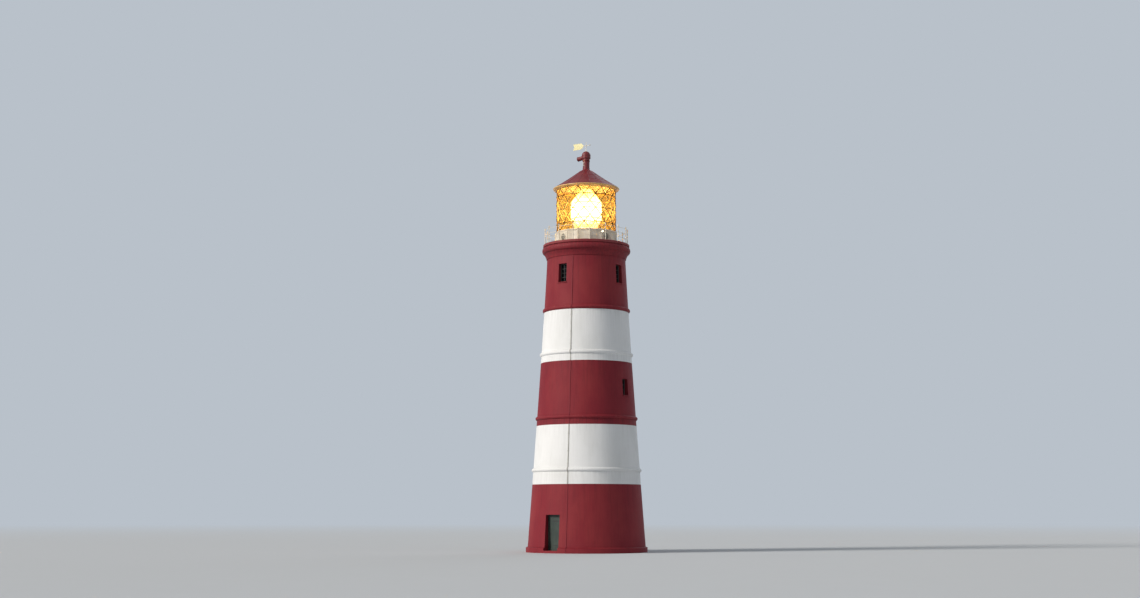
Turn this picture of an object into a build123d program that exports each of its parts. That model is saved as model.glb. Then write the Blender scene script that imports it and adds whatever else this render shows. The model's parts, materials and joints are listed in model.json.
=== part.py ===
from build123d import *
import math
import os

# Banded masonry light tower, full size, in millimetres.
# Origin: centre of the base on the ground, +Z up, the door faces -Y.
# A bearing is an angle in degrees, anticlockwise from the door, seen from above.

# Clearances
fit_gap = 0.3            # between a piece and the opening or seat that it fits
running_gap = 0.05       # round the turning pin of the cowl

# Tower shaft, in five painted bands
base_radius = 3685
neck_radius = 2485
flare_power = 1.12       # above 1 the shaft spreads a little more towards the ground
red_base_height = 4150
white_lower_height = 3620
red_middle_height = 3930
white_upper_height = 3200
red_top_height = 3400
ground_wall = 1250       # wall thickness at the ground
neck_wall = 560          # wall thickness at the neck
plinth_height = 350
plinth_projection = 90
plinth_weathering = 60   # slope on top of the plinth

# String courses: a half-round roll on a ring whose foot is the paint edge
course_roll_radius = 120
course_roll_projection = 105
first_roll_rise = 880    # from the paint edge up to the middle of the roll
second_roll_rise = 470
third_roll_rise = 540
fourth_roll_rise = 140

# Floors
ground_slab = 150
floor_thickness = 220
floor_bearing = 110      # how far a floor runs into the wall
hatch_width = 850
hatch_depth = 700
hatch_margin = 350       # between the hatch and the wall
hatch_bearing = 180

# Doorway and windows
door_width = 1050
door_height = 2150
door_recess = 260        # from the wall face to the frame
door_frame_width = 85
door_frame_depth = 110
door_leaf_thickness = 60
top_window_width = 620
top_window_height = 1160
top_window_sill = 1480   # above the string course
low_window_width = 560
low_window_height = 1010
low_window_sill = 1250
window_recess = 210
window_frame_width = 55
window_frame_depth = 70
glazing_bar = 28
pane_thickness = 8

# Cornice and gallery
cove_height = 375
cove_foot_projection = 35
cove_head_projection = 205
cove_sag = 24            # how far the cove is hollowed behind a straight line
roll_height = 375
roll_step = 25           # from the head of the cove out to the foot of the roll
roll_projection = 85     # from the foot of the roll out to its crest
groove_height = 30
groove_depth = 40
deck_radius = 2740
deck_thickness = 170
deck_nosing = 26
railing_inset = 110      # of the posts, inside the edge of the deck
railing_height = 930
post_count = 16
post_turn = 18           # bearing of the first railing post
post_radius = 23
post_foot_radius = 55
post_foot_height = 16
post_foot_slope = 24
spear_height = 175
spear_radius = 44
spear_neck = 14
spear_belly = 55         # from the neck up to the widest part
rail_radius = 11

# Lantern
lantern_sides = 16
lantern_turn = 20.5      # bearing of the first lantern corner
lantern_radius = 1960    # to the corners, outside
murette_height = 740
murette_thickness = 70
murette_rib_width = 60
murette_rib_depth = 30
sill_height = 80
sill_projection = 35
glazing_height = 2685
glazing_rows = 3
bar_width = 50
bar_depth = 62
lantern_pane = 12
pane_joint = 2           # half the joint between two sheets of glass
head_height = 50
ventilator_count = 4
ventilator_side = -2     # lantern side of the first one, counted from the first corner
ventilator_radius = 235
ventilator_depth = 45
ventilator_rim = 42

# Lantern roof
eave_projection = 155    # beyond the lantern corners
eave_height = 110
eave_lip = 45
roof_rise = 1180
roof_mid_rise = 490      # of the sweep at its middle
roof_mid_share = 0.5625  # of the middle, on the way out from the top to the eave
roof_top_radius = 350
roof_thickness = 45

# Ventilating stack
stack_radius = 215
stack_wall = 14
stack_flare_height = 150
stack_flare_radius = 322
stack_flare_sag = 20
stack_height = 625
collar_radius = 236
collar_height = 45
handrail_bearing = -10
handrail_radius = 18
handrail_bracket_radius = 14
handrail_length = 290
handrail_standoff = 50

# Turning cowl
spider_width = 44
spider_thickness = 16
pin_radius = 20
bush_radius = 42
bush_length = 150
cowl_heading = 0         # turn of the cowl at rest, from the spout pointing to -X
cowl_radius = 280
cowl_wall = 10
cowl_neck_radius = 225   # of the narrow ring under the head
cowl_neck_height = 155
cowl_head_height = 200   # of the upright part of the head, under its dome
cowl_gap = 9             # between the turning neck and the fixed spider
spout_radius = 135
spout_reach = 640
spout_drop = 6           # degrees below level
spout_root = 258         # of its centre line on the axis, above the foot of the neck
spout_lip_width = 24
spout_lip_height = 14

# Wind vane on the cowl
vane_level = 380         # of the bar above the crown of the cowl
vane_bar_radius = 15
vane_mast_radius = 18
vane_mast_rise = 240     # above the bar
vane_base_radius = 60
vane_base_height = 45
heel_reach = 220         # from the axis to the upright that carries the flag
heel_radius = 14
counterweight_reach = 300
counterweight_radius = 42
flag_length = 800
flag_height = 390
flag_notch = 90
flag_corner = 145        # length of the sloping corners at the heel
flag_heel = 120          # height of the flag where it meets the heel
flag_tip_height = 410
flag_thickness = 12

# Optic
focal_height = 1370      # above the lantern sill
optic_radius = 920
belt_half_height = 480
belt_thickness = 26
belt_tooth = 34
belt_crest = 10
belt_zones = 5
optic_ring_height = 20
optic_ring_width = 95
prism_height = 62
prism_pitch = 88
prism_depth = 64
prism_lean = 22          # of the outer edge, towards the focal plane
prism_gap = 20           # from the ring to the first prism
upper_prisms = 11
upper_draw = 660         # how far the uppermost prism is drawn in
lower_prisms = 8
lower_draw = 290
upper_draw_power = 1.2   # above 1 the draw grows away from the belt
lower_draw_power = 0.8
upright_count = 8
upright_depth = 46
upright_thickness = 14
crown_height = 30
crown_width = 92
table_radius = 820
table_thickness = 70
table_taper = 140
pedestal_radius = 400
pedestal_foot_radius = 640
pedestal_foot_height = 90
lamp_stem_radius = 26
bulb_radius = 112
bulb_neck_radius = 44
bulb_neck = 90

# Lightning conductor
conductor_bearing = 16
conductor_width = 62
conductor_thickness = 22

# Levels worked out from the sizes above
bands = [red_base_height, white_lower_height, red_middle_height, white_upper_height, red_top_height]
band_names = ["red_base", "white_lower", "red_middle", "white_upper", "red_top"]
band_tops = [sum(bands[:number + 1]) for number in range(len(bands))]
shaft_height = band_tops[-1]
roll_rises = [first_roll_rise, second_roll_rise, third_roll_rise, fourth_roll_rise]
roll_levels = [edge + rise for edge, rise in zip(band_tops, roll_rises)]
course_tops = [level + course_roll_radius for level in roll_levels]
wall_feet = [plinth_height] + course_tops
deck_foot = shaft_height + cove_height + roll_height + groove_height
deck_top = deck_foot + deck_thickness
murette_top = deck_top + murette_height
sill_top = murette_top + sill_height
glazing_top = sill_top + glazing_height
head_top = glazing_top + head_height
eave_top = head_top + eave_height
stack_foot = eave_top + roof_rise
stack_top = stack_foot + stack_height
cowl_foot = stack_top + spider_thickness + cowl_gap
cowl_head_foot = cowl_foot + cowl_neck_height
cowl_shoulder = cowl_head_foot + cowl_head_height
cowl_crown = cowl_shoulder + cowl_radius
focal_level = sill_top + focal_height
belt_foot = focal_level - belt_half_height
belt_top = focal_level + belt_half_height
table_top = belt_foot - optic_ring_height - prism_gap - lower_prisms * prism_pitch
crown_top = belt_top + optic_ring_height + prism_gap + upper_prisms * prism_pitch

# Positions worked out from the sizes above
face_bearings = [0, 90, 180, 270]
corner_bearings = [45, 135, 225, 315]
segment_angle = 360 / (len(face_bearings) + len(corner_bearings))
# a string course has the number of the band under it
middle_floor_course = band_names.index("white_lower")
service_floor_course = band_names.index("white_upper")
top_band = band_names.index("red_top")
low_window_band = band_names.index("red_middle")
low_window_bearings = [90, 270]
side_angle = 360 / lantern_sides
half_side_angle = math.radians(side_angle / 2)
glass_apothem = (lantern_radius - murette_rib_depth) * math.cos(half_side_angle)
bar_apothem = glass_apothem - lantern_pane
murette_bore = lantern_radius - murette_rib_depth - murette_thickness
railing_radius = deck_radius - railing_inset
eave_radius = lantern_radius + eave_projection


def shaft_radius(level):
    share = max(0, (shaft_height - level) / shaft_height)
    return neck_radius + (base_radius - neck_radius) * share ** flare_power


def room_radius(level):
    share = max(0, (shaft_height - level) / shaft_height)
    return shaft_radius(level) - neck_wall - (ground_wall - neck_wall) * share


def at_bearing(shape, bearing):
    """Turns a shape made along +X so that it stands at a bearing."""
    return Rot(0, 0, bearing - 90) * shape


def around(shape, bearings):
    return [at_bearing(shape, bearing) for bearing in bearings]


def evenly(count, first):
    return [first + 360 / count * number for number in range(count)]


def turned_body(points, arc=360):
    """Solid of revolution about Z of a closed outline of (radius, height) points, centred on +X."""
    outline = make_face(Plane.XZ * Polyline(*points, close=True))
    return Rot(0, 0, -arc / 2) * revolve(outline, Axis.Z, revolution_arc=arc)


def turned_outline(lines):
    """Solid of revolution about Z of a closed outline made of lines and arcs in (radius, height)."""
    edges = [edge for line in lines for edge in (Plane.XZ * line).edges()]
    return revolve(make_face(edges), Axis.Z)


def ring(inner, outer, foot, top):
    return turned_body([(inner, foot), (outer, foot), (outer, top), (inner, top)])


def rod(start, end, radius):
    """Round rod between two points."""
    line = Line(start, end)
    return extrude(Plane(origin=start, z_dir=line % 0) * Circle(radius), line.length)


def plate(points, thickness):
    """Flat plate in the XZ plane, centred on it, from its (x, z) outline."""
    return extrude(Plane.XZ * make_face(Polyline(*points, close=True)), thickness / 2, both=True)


def polygon_ring(outer, inner, foot, top):
    """Ring with flat lantern sides, sized by its corners, standing at the lantern's turn."""
    # RegularPolygon puts a corner on +X
    outline = RegularPolygon(outer, lantern_sides) - RegularPolygon(inner, lantern_sides)
    return at_bearing(Pos(0, 0, foot) * extrude(outline, top - foot), lantern_turn)


def save(node, *shapes):
    solids = [solid for shape in shapes for solid in shape.solids()]
    export_step(Compound(children=solids), os.path.join("parts", node + ".step"))


# Masonry shaft

def opening(width, height, sill):
    """Block that cuts a door or window through a wall that stands across +X."""
    reach = base_radius + plinth_projection
    return Pos(reach / 2, 0, sill + height / 2) * Box(reach, width, height)


def wall_segment(band):
    """An eighth of a band's wall, centred on +X, battered inside and out."""
    foot, head = wall_feet[band], band_tops[band]
    return turned_body([
        (room_radius(foot), foot), (shaft_radius(foot), foot),
        (shaft_radius(head), head), (room_radius(head), head)], segment_angle)


def make_walls():
    door = opening(door_width, door_height, ground_slab)
    low_window = opening(low_window_width, low_window_height, wall_feet[low_window_band] + low_window_sill)
    top_window = opening(top_window_width, top_window_height, wall_feet[top_band] + top_window_sill)
    cuts = {(0, face_bearings[0]): door}
    cuts.update({(low_window_band, bearing): low_window for bearing in low_window_bearings})
    cuts.update({(top_band, bearing): top_window for bearing in face_bearings})
    for band, name in enumerate(band_names):
        plain = wall_segment(band)
        faces = []
        for bearing in face_bearings:
            cut = cuts.get((band, bearing))
            faces.append(at_bearing(plain - cut if cut else plain, bearing))
        save(name + "_faces", *faces)
        save(name + "_corners", *around(plain, corner_bearings))


def make_plinth():
    """Foot ring; its masonry is the step in the doorway."""
    outer = base_radius + plinth_projection
    body = turned_body([
        (room_radius(0), 0), (outer, 0), (outer, plinth_height - plinth_weathering),
        (shaft_radius(plinth_height), plinth_height), (room_radius(plinth_height), plinth_height)])
    save("plinth", body - at_bearing(opening(door_width, door_height, ground_slab), face_bearings[0]))


def course_face(course):
    """Outer face of a string course, from the paint edge up past its roll."""
    foot, top = band_tops[course], course_tops[course]
    low, level = top - 2 * course_roll_radius, roll_levels[course]
    crest = shaft_radius(level) + course_roll_projection
    return [
        Line((shaft_radius(foot), foot), (shaft_radius(low), low)),
        ThreePointArc((shaft_radius(low), low), (crest, level), (shaft_radius(top), top)),
    ]


def make_courses():
    for course, top in enumerate(course_tops):
        foot = band_tops[course]
        if course in (middle_floor_course, service_floor_course):
            seat = top - floor_thickness
            recess = room_radius(seat) + floor_bearing + fit_gap
            inside = [(recess, top), (recess, seat), (room_radius(seat), seat)]
        else:
            inside = [(room_radius(top), top)]
        inside.append((room_radius(foot), foot))
        back = Polyline((shaft_radius(top), top), *inside, (shaft_radius(foot), foot))
        save("string_course_" + str(course + 1), turned_outline([*course_face(course), back]))


def hatch(wall, foot, thickness):
    """Block for the stair hatch, close to the wall of a floor."""
    middle = wall - hatch_margin - hatch_depth / 2
    block = Pos(middle, 0, foot + thickness / 2) * Box(hatch_depth, hatch_width, 2 * thickness)
    return at_bearing(block, hatch_bearing)


def disc(radius, foot, thickness):
    return Pos(0, 0, foot) * extrude(Circle(radius), thickness)


def make_floors():
    # the wall leans inwards, so the slab is sized at its top
    save("ground_floor", disc(room_radius(ground_slab) - fit_gap, 0, ground_slab))
    for name, course in (("middle_floor", middle_floor_course), ("service_floor", service_floor_course)):
        seat = course_tops[course] - floor_thickness
        wall = room_radius(seat)
        save(name, disc(wall + floor_bearing, seat, floor_thickness) - hatch(wall, seat, floor_thickness))


# Door and windows

def make_door():
    """Plank door and its frame, set back in the doorway."""
    face = shaft_radius(ground_slab + door_height) - door_recess
    middle = face - door_frame_depth / 2
    outer_width, outer_height = door_width - 2 * fit_gap, door_height - 2 * fit_gap
    inner_width, inner_height = outer_width - 2 * door_frame_width, outer_height - door_frame_width
    foot = ground_slab + fit_gap
    frame = Pos(middle, 0, foot + outer_height / 2) * Box(door_frame_depth, outer_width, outer_height)
    gap = opening(inner_width, inner_height, foot)
    save("door_frame", at_bearing(frame - gap, face_bearings[0]))
    leaf_width, leaf_height = inner_width - 2 * fit_gap, inner_height - fit_gap
    leaf = Pos(middle, 0, foot + leaf_height / 2) * Box(door_leaf_thickness, leaf_width, leaf_height)
    save("door_leaf", at_bearing(leaf, face_bearings[0]))


def casement(width, height, bars_across):
    """Window frame with its glazing bars, centred on the origin across X."""
    inner_width, inner_height = width - 2 * window_frame_width, height - 2 * window_frame_width
    frame = Box(window_frame_depth, width, height) - Box(2 * window_frame_depth, inner_width, inner_height)
    bars = [Box(window_frame_depth, glazing_bar, height - window_frame_width)]
    for row in range(1, bars_across + 1):
        level = inner_height * (row / (bars_across + 1) - 1 / 2)
        bars.append(Pos(0, 0, level) * Box(window_frame_depth, width - window_frame_width, glazing_bar))
    return frame + bars


def make_windows():
    frames, panes = [], []
    rows = [
        (top_band, top_window_width, top_window_height, top_window_sill, 3, face_bearings),
        (low_window_band, low_window_width, low_window_height, low_window_sill, 2, low_window_bearings),
    ]
    for band, width, height, sill, bars_across, bearings in rows:
        foot = wall_feet[band] + sill
        middle = shaft_radius(foot + height) - window_recess - window_frame_depth / 2
        place = Pos(middle, 0, foot + height / 2)
        frames += around(place * casement(width - 2 * fit_gap, height - 2 * fit_gap, bars_across), bearings)
        # the sheet lies against the inner side of the frame
        sheet = Box(pane_thickness, width - window_frame_width, height - window_frame_width)
        panes += around(place * Pos(-(window_frame_depth + pane_thickness) / 2, 0, 0) * sheet, bearings)
    save("window_frames", *frames)
    save("window_panes", *panes)


# Cornice and gallery

def make_cornice():
    """Cove and roll that spread from the neck to carry the gallery."""
    bore = room_radius(shaft_height)
    cove_top = shaft_height + cove_height
    roll_top = cove_top + roll_height
    cove_foot_radius = neck_radius + cove_foot_projection
    cove_head_radius = neck_radius + cove_head_projection
    roll_radius = cove_head_radius + roll_step
    crest = roll_radius + roll_projection
    groove = roll_radius - groove_depth
    save("cornice", turned_outline([
        Polyline((groove, roll_top), (groove, deck_foot), (bore, deck_foot), (bore, shaft_height),
                 (cove_foot_radius, shaft_height)),
        # an arc drawn upwards bows towards the axis
        SagittaArc((cove_foot_radius, shaft_height), (cove_head_radius, cove_top), cove_sag),
        Line((cove_head_radius, cove_top), (roll_radius, cove_top)),
        ThreePointArc((roll_radius, cove_top), (crest, cove_top + roll_height / 2), (roll_radius, roll_top)),
        Line((roll_radius, roll_top), (groove, roll_top)),
    ]))


def make_deck():
    """Gallery slab, which is also the floor of the lantern."""
    body = turned_body([
        (0, deck_foot), (deck_radius - deck_nosing, deck_foot), (deck_radius, deck_foot + deck_nosing),
        (deck_radius, deck_top - deck_nosing), (deck_radius - deck_nosing, deck_top), (0, deck_top)])
    save("gallery_deck", body - hatch(room_radius(shaft_height), deck_foot, deck_thickness))


def make_railing():
    """Posts with spear heads, and three round rails from post to post."""
    post = turned_body([
        (0, 0), (post_foot_radius, 0), (post_foot_radius, post_foot_height),
        (post_radius, post_foot_height + post_foot_slope), (post_radius, railing_height),
        (spear_neck, railing_height + spear_neck), (spear_radius, railing_height + spear_belly),
        (0, railing_height + spear_height)])
    posts = evenly(post_count, post_turn)
    save("railing_posts", *around(Pos(railing_radius, 0, deck_top) * post, posts))
    # each rail ends against the side of a post
    post_half_angle = math.degrees(math.asin((post_radius + fit_gap) / railing_radius))
    step = 360 / post_count
    arc = step - 2 * post_half_angle
    names = ["railing_low_rail", "railing_middle_rail", "railing_top_rail"]
    for row, name in enumerate(names):
        level = deck_top + railing_height * (row + 1) / len(names) - 2 * rail_radius
        section = Plane.XZ * (Pos(railing_radius, level) * Circle(rail_radius))
        rail = Rot(0, 0, -arc / 2) * revolve(section, Axis.Z, revolution_arc=arc)
        save(name, *around(rail, [bearing + step / 2 for bearing in posts]))


# Lantern

def make_murette():
    """Cast wall under the lantern glass: flat panels with a rib on each corner."""
    wall = polygon_ring(murette_bore + murette_thickness, murette_bore, deck_top, murette_top)
    rib = Pos(lantern_radius - murette_rib_depth, 0, deck_top + murette_height / 2) * Box(
        2 * murette_rib_depth, murette_rib_width, murette_height)
    save("murette", wall + around(rib, evenly(lantern_sides, lantern_turn)))


def make_ventilators():
    """Round air inlets, each a rimmed disc on the middle of a murette panel."""
    dish = Pos(0, 0, ventilator_depth / 2) * Cylinder(ventilator_radius - ventilator_rim, ventilator_depth)
    inlet = Rot(0, 90, 0) * (Cylinder(ventilator_radius, ventilator_depth) - dish)
    place = Pos(glass_apothem + ventilator_depth / 2, 0, deck_top + murette_height / 2)
    first = lantern_turn + side_angle * (ventilator_side + 1 / 2)
    save("ventilators", *around(place * inlet, evenly(ventilator_count, first)))


def make_sill():
    save("lantern_sill", polygon_ring(lantern_radius + sill_projection, murette_bore, murette_top, sill_top))


def lattice_side():
    """Crossed glazing bars of one flat side of the lantern, centred on +X and cut to its wedge."""
    width = 2 * bar_apothem * math.tan(half_side_angle)
    row_height = glazing_height / glazing_rows
    diagonal = math.hypot(width, row_height)
    slope = math.degrees(math.atan2(row_height, width))
    bars = []
    for row in range(glazing_rows):
        middle = Pos(0, row_height * (row + 1 / 2))
        bars += [middle * Rot(0, 0, turn) * Rectangle(2 * diagonal, bar_width) for turn in (slope, -slope, 0)]
    pattern = (Sketch() + bars) & Pos(0, glazing_height / 2) * Rectangle(width, glazing_height)
    outer_face = Plane(origin=(bar_apothem, 0, sill_top), x_dir=(0, 1, 0), z_dir=(1, 0, 0))
    side = extrude(outer_face * pattern, -bar_depth)
    # neighbouring sides are kept apart by the fitting gap
    wedge_foot = fit_gap / math.sin(half_side_angle)
    wedge_half = (lantern_radius - wedge_foot) * math.tan(half_side_angle)
    wedge = Polyline((wedge_foot, 0), (lantern_radius, -wedge_half), (lantern_radius, wedge_half), close=True)
    return side & Pos(0, 0, sill_top) * extrude(make_face(wedge), glazing_height)


def lantern_sides_of(shape):
    return around(shape, evenly(lantern_sides, lantern_turn + side_angle / 2))


def make_glazing():
    """Lattice panels, and one flat sheet of glass on each, outside the bars."""
    save("lantern_lattice", *lantern_sides_of(lattice_side()))
    width = 2 * bar_apothem * math.tan(half_side_angle) - 2 * pane_joint
    middle = bar_apothem + lantern_pane / 2
    sheet = Pos(middle, 0, sill_top + glazing_height / 2) * Box(lantern_pane, width, glazing_height)
    save("lantern_glass", *lantern_sides_of(sheet))


def make_lantern_head():
    inner = (bar_apothem - bar_depth) / math.cos(half_side_angle)
    save("lantern_head", polygon_ring(lantern_radius, inner, glazing_top, head_top))


def make_eave():
    """Round gutter ring under the edge of the roof."""
    inner = bar_apothem - bar_depth
    save("eave_gutter", turned_body([
        (inner, head_top), (eave_radius - eave_lip, head_top), (eave_radius, head_top + eave_lip),
        (eave_radius, eave_top), (inner, eave_top)]))


def make_roof():
    """Swept conical shell that flattens towards the eave."""
    edge = eave_radius - eave_lip / 2
    mouth = stack_radius + roof_thickness
    middle_radius = roof_top_radius + (edge - roof_top_radius) * roof_mid_share
    middle = eave_top + roof_mid_rise
    outer = ThreePointArc((edge, eave_top), (middle_radius, middle), (roof_top_radius, stack_foot))
    inner = ThreePointArc(
        (edge - 2 * roof_thickness, eave_top), (middle_radius, middle - roof_thickness),
        (mouth, stack_foot - roof_thickness / 2))
    rim = Polyline(outer @ 1, (mouth, stack_foot), inner @ 1)
    save("roof", turned_outline([outer, rim, inner, Line(inner @ 0, outer @ 0)]))


# Stack, cowl and vane

def make_stack():
    bore = stack_radius - stack_wall
    flare_top = stack_foot + stack_flare_height
    collar_foot = stack_top - collar_height
    flare = SagittaArc((stack_flare_radius, stack_foot), (stack_radius, flare_top), stack_flare_sag)
    upper = Polyline(
        (stack_radius, flare_top), (stack_radius, collar_foot), (collar_radius, collar_foot),
        (collar_radius, stack_top), (bore, stack_top), (bore, stack_foot), (stack_flare_radius, stack_foot))
    save("vent_stack", turned_outline([flare, upper]))


def make_handrail():
    """Grab rail beside the stack, on two short brackets."""
    reach = stack_radius + handrail_standoff
    top = stack_top - collar_height - handrail_radius
    foot = top - handrail_length
    rail = rod((reach, 0, foot), (reach, 0, top), handrail_radius)
    for level in (foot + 2 * handrail_radius, top - 2 * handrail_radius):
        rail += rod((stack_radius + fit_gap, 0, level), (reach, 0, level), handrail_bracket_radius)
    save("stack_handrail", at_bearing(rail, handrail_bearing))


def make_spindle():
    """Cross bar on the rim of the stack with the fixed pin that carries the cowl."""
    bar = Box(2 * collar_radius, spider_width, spider_thickness)
    cross = Pos(0, 0, stack_top + spider_thickness / 2) * (bar + Rot(0, 0, 90) * bar)
    pin = rod((0, 0, stack_top), (0, 0, cowl_crown - cowl_wall - fit_gap), pin_radius)
    save("cowl_spindle", cross + pin)


def spout_point(reach):
    """Point on the centre line of the spout, at a level distance from the axis."""
    return (-reach, 0, cowl_foot + spout_root - reach * math.tan(math.radians(spout_drop)))


def domed_head(inset):
    """Half a ball on an upright drum over a narrower neck, with every face drawn in by the inset."""
    neck, radius = cowl_neck_radius - inset, cowl_radius - inset
    foot, ledge = cowl_foot - inset, cowl_head_foot + inset
    slant = radius * math.sqrt(1 / 2)
    crown = (0, cowl_shoulder + radius)
    dome = ThreePointArc((radius, cowl_shoulder), (slant, cowl_shoulder + slant), crown)
    sides = Polyline(crown, (0, foot), (neck, foot), (neck, ledge), (radius, ledge), (radius, cowl_shoulder))
    return turned_outline([dome, sides])


def cowl_body(inset, reach):
    """Head and spout, with every face drawn in by the inset."""
    return domed_head(inset) + rod(spout_point(0), spout_point(reach), spout_radius - inset)


def make_cowl():
    """Turning cowl: a domed head with one spout, hung on the pin by a bush under the crown."""
    lip_start = spout_point(spout_reach - spout_lip_width)
    lip = rod(lip_start, spout_point(spout_reach), spout_radius + spout_lip_height)
    shell = cowl_body(0, spout_reach) + lip - cowl_body(cowl_wall, spout_reach + cowl_wall)
    bush_top = cowl_crown - cowl_wall / 2
    bush = rod((0, 0, bush_top - bush_length), (0, 0, bush_top), bush_radius)
    pin_hole = rod((0, 0, cowl_foot), (0, 0, cowl_crown - cowl_wall), pin_radius + running_gap)
    save("cowl", Rot(0, 0, cowl_heading) * (shell + bush - pin_hole))


def make_vane():
    """A mast on the crown carries a level bar, with the flag at one end and a ball at the other."""
    level = cowl_crown + vane_level
    base_top = cowl_crown + vane_base_height
    frame = rod((0, 0, cowl_shoulder), (0, 0, level + vane_mast_rise), vane_mast_radius)
    frame += rod((0, 0, cowl_shoulder), (0, 0, base_top), vane_base_radius)
    frame += rod((-heel_reach, 0, level), (counterweight_reach, 0, level), vane_bar_radius)
    frame += rod((-heel_reach, 0, level - flag_heel / 2), (-heel_reach, 0, level + flag_heel / 2), heel_radius)
    frame += Pos(counterweight_reach, 0, level) * Sphere(counterweight_radius)
    # the mast is trimmed to stand on the dome
    frame -= domed_head(-fit_gap)
    save("vane_frame", Rot(0, 0, cowl_heading) * frame)

    near = -heel_reach - heel_radius - fit_gap
    far = near - flag_length
    half, heel, tip = flag_height / 2, flag_heel / 2, flag_tip_height / 2
    flag = plate([
        (near, heel), (near - flag_corner, half), (far, tip), (far + flag_notch, 0), (far, -tip),
        (near - flag_corner, -half), (near, -heel)], flag_thickness)
    save("vane_flag", Rot(0, 0, cowl_heading) * Pos(0, 0, level) * flag)


# Optic

def upper_prism_radius(number):
    return optic_radius - upper_draw * (number / (upper_prisms - 1)) ** upper_draw_power


def lower_prism_radius(number):
    return optic_radius - lower_draw * (number / (lower_prisms - 1)) ** lower_draw_power


def upper_prism_foot(number):
    return belt_top + optic_ring_height + prism_gap + prism_pitch * number


def lower_prism_foot(number):
    return belt_foot - optic_ring_height - prism_gap - prism_height - prism_pitch * number


def prism(radius, foot, lean):
    """Three-sided glass ring with an upright inner face."""
    edge = (radius + prism_depth, foot + prism_height / 2 - lean)
    return turned_body([(radius, foot), edge, (radius, foot + prism_height)])


def make_belt():
    """Middle drum of the optic, stepped outside into zones that are thickest towards the focal plane."""
    zone = 2 * belt_half_height / (2 * belt_zones + 1)
    thin = optic_radius + belt_thickness
    thick = thin + belt_tooth
    outline = [(optic_radius, belt_foot)]
    for number in range(belt_zones):
        outline += [(thin, belt_foot + zone * number), (thick, belt_foot + zone * (number + 1))]
    outline.append((thick + belt_crest, focal_level))
    for number in reversed(range(belt_zones)):
        outline += [(thick, belt_top - zone * (number + 1)), (thin, belt_top - zone * number)]
    outline.append((optic_radius, belt_top))
    save("optic_belt", turned_body(outline))


def make_prisms():
    upper = [(upper_prism_radius(number), upper_prism_foot(number)) for number in range(upper_prisms)]
    lower = [(lower_prism_radius(number), lower_prism_foot(number)) for number in range(lower_prisms)]
    save("optic_upper_prisms", *[prism(radius, foot, prism_lean) for radius, foot in upper])
    save("optic_lower_prisms", *[prism(radius, foot, -prism_lean) for radius, foot in lower])


def upright():
    """Flat upright in the XZ plane that meets each prism at its inmost corner."""
    edge = [(lower_prism_radius(lower_prisms - 1), table_top)]
    for number in reversed(range(lower_prisms)):
        edge.append((lower_prism_radius(number), lower_prism_foot(number) + prism_height))
    for number in range(upper_prisms):
        edge.append((upper_prism_radius(number), upper_prism_foot(number)))
    edge.append((upper_prism_radius(upper_prisms - 1), crown_top))
    outer = [(radius - fit_gap, level) for radius, level in edge]
    inner = [(radius - upright_depth, level) for radius, level in reversed(edge)]
    return plate(outer + inner, upright_thickness)


def make_optic_frame():
    """Uprights behind the prisms, tied by rings above and below the belt and by the crown."""
    uprights = around(upright(), evenly(upright_count, 0))
    inside = optic_radius - upright_depth
    outside = inside + optic_ring_width
    crown_radius = upper_prism_radius(upper_prisms - 1) - fit_gap
    rings = [
        ring(inside, outside, belt_foot - optic_ring_height, belt_foot),
        ring(inside, outside, belt_top, belt_top + optic_ring_height),
        ring(crown_radius - crown_width, crown_radius, crown_top - crown_height, crown_top),
    ]
    save("optic_frame", uprights[0].fuse(*uprights[1:], *rings))


def make_pedestal():
    foot_top = deck_top + pedestal_foot_height
    table_foot = table_top - table_thickness
    save("optic_pedestal", turned_body([
        (0, deck_top), (pedestal_foot_radius, deck_top), (pedestal_foot_radius, foot_top),
        (pedestal_radius, foot_top + pedestal_foot_height), (pedestal_radius, table_foot - table_taper),
        (table_radius, table_foot), (table_radius, table_top), (0, table_top)]))


def make_lamp():
    bulb_foot = focal_level - bulb_radius - bulb_neck
    save("lamp_stem", rod((0, 0, table_top), (0, 0, bulb_foot), lamp_stem_radius))
    neck = rod((0, 0, bulb_foot), (0, 0, focal_level), bulb_neck_radius)
    save("lamp_bulb", neck + Pos(0, 0, focal_level) * Sphere(bulb_radius))


# Lightning conductor

def shaft_section():
    """Half section of the masonry, from the axis out to its face, as (radius, height)."""
    outer = base_radius + plinth_projection
    lines = [Polyline(
        (0, shaft_height), (0, 0), (outer, 0), (outer, plinth_height - plinth_weathering),
        (shaft_radius(plinth_height), plinth_height))]
    for band, head in enumerate(band_tops):
        foot = wall_feet[band]
        lines.append(Line((shaft_radius(foot), foot), (shaft_radius(head), head)))
        if head < shaft_height:
            lines += course_face(band)
    lines.append(Line((neck_radius, shaft_height), (0, shaft_height)))
    return make_face([edge for line in lines for edge in line.edges()])


def make_conductor():
    """Flat strip that follows the face of the shaft over its courses and plinth."""
    section = shaft_section()
    skin = offset(section, fit_gap + conductor_thickness) - offset(section, fit_gap)
    reach = 2 * base_radius
    keep = Pos((reach + neck_radius) / 2, shaft_height / 2) * Rectangle(reach, shaft_height)
    strip = extrude(Plane.XZ * (skin & keep), conductor_width / 2, both=True)
    save("lightning_conductor", at_bearing(strip, conductor_bearing))


os.makedirs("parts", exist_ok=True)
make_plinth()
make_walls()
make_courses()
make_floors()
make_door()
make_windows()
make_cornice()
make_deck()
make_railing()
make_murette()
make_ventilators()
make_sill()
make_glazing()
make_lantern_head()
make_eave()
make_roof()
make_stack()
make_handrail()
make_spindle()
make_cowl()
make_vane()
make_belt()
make_prisms()
make_optic_frame()
make_pedestal()
make_lamp()
make_conductor()
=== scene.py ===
import json
import math

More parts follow.
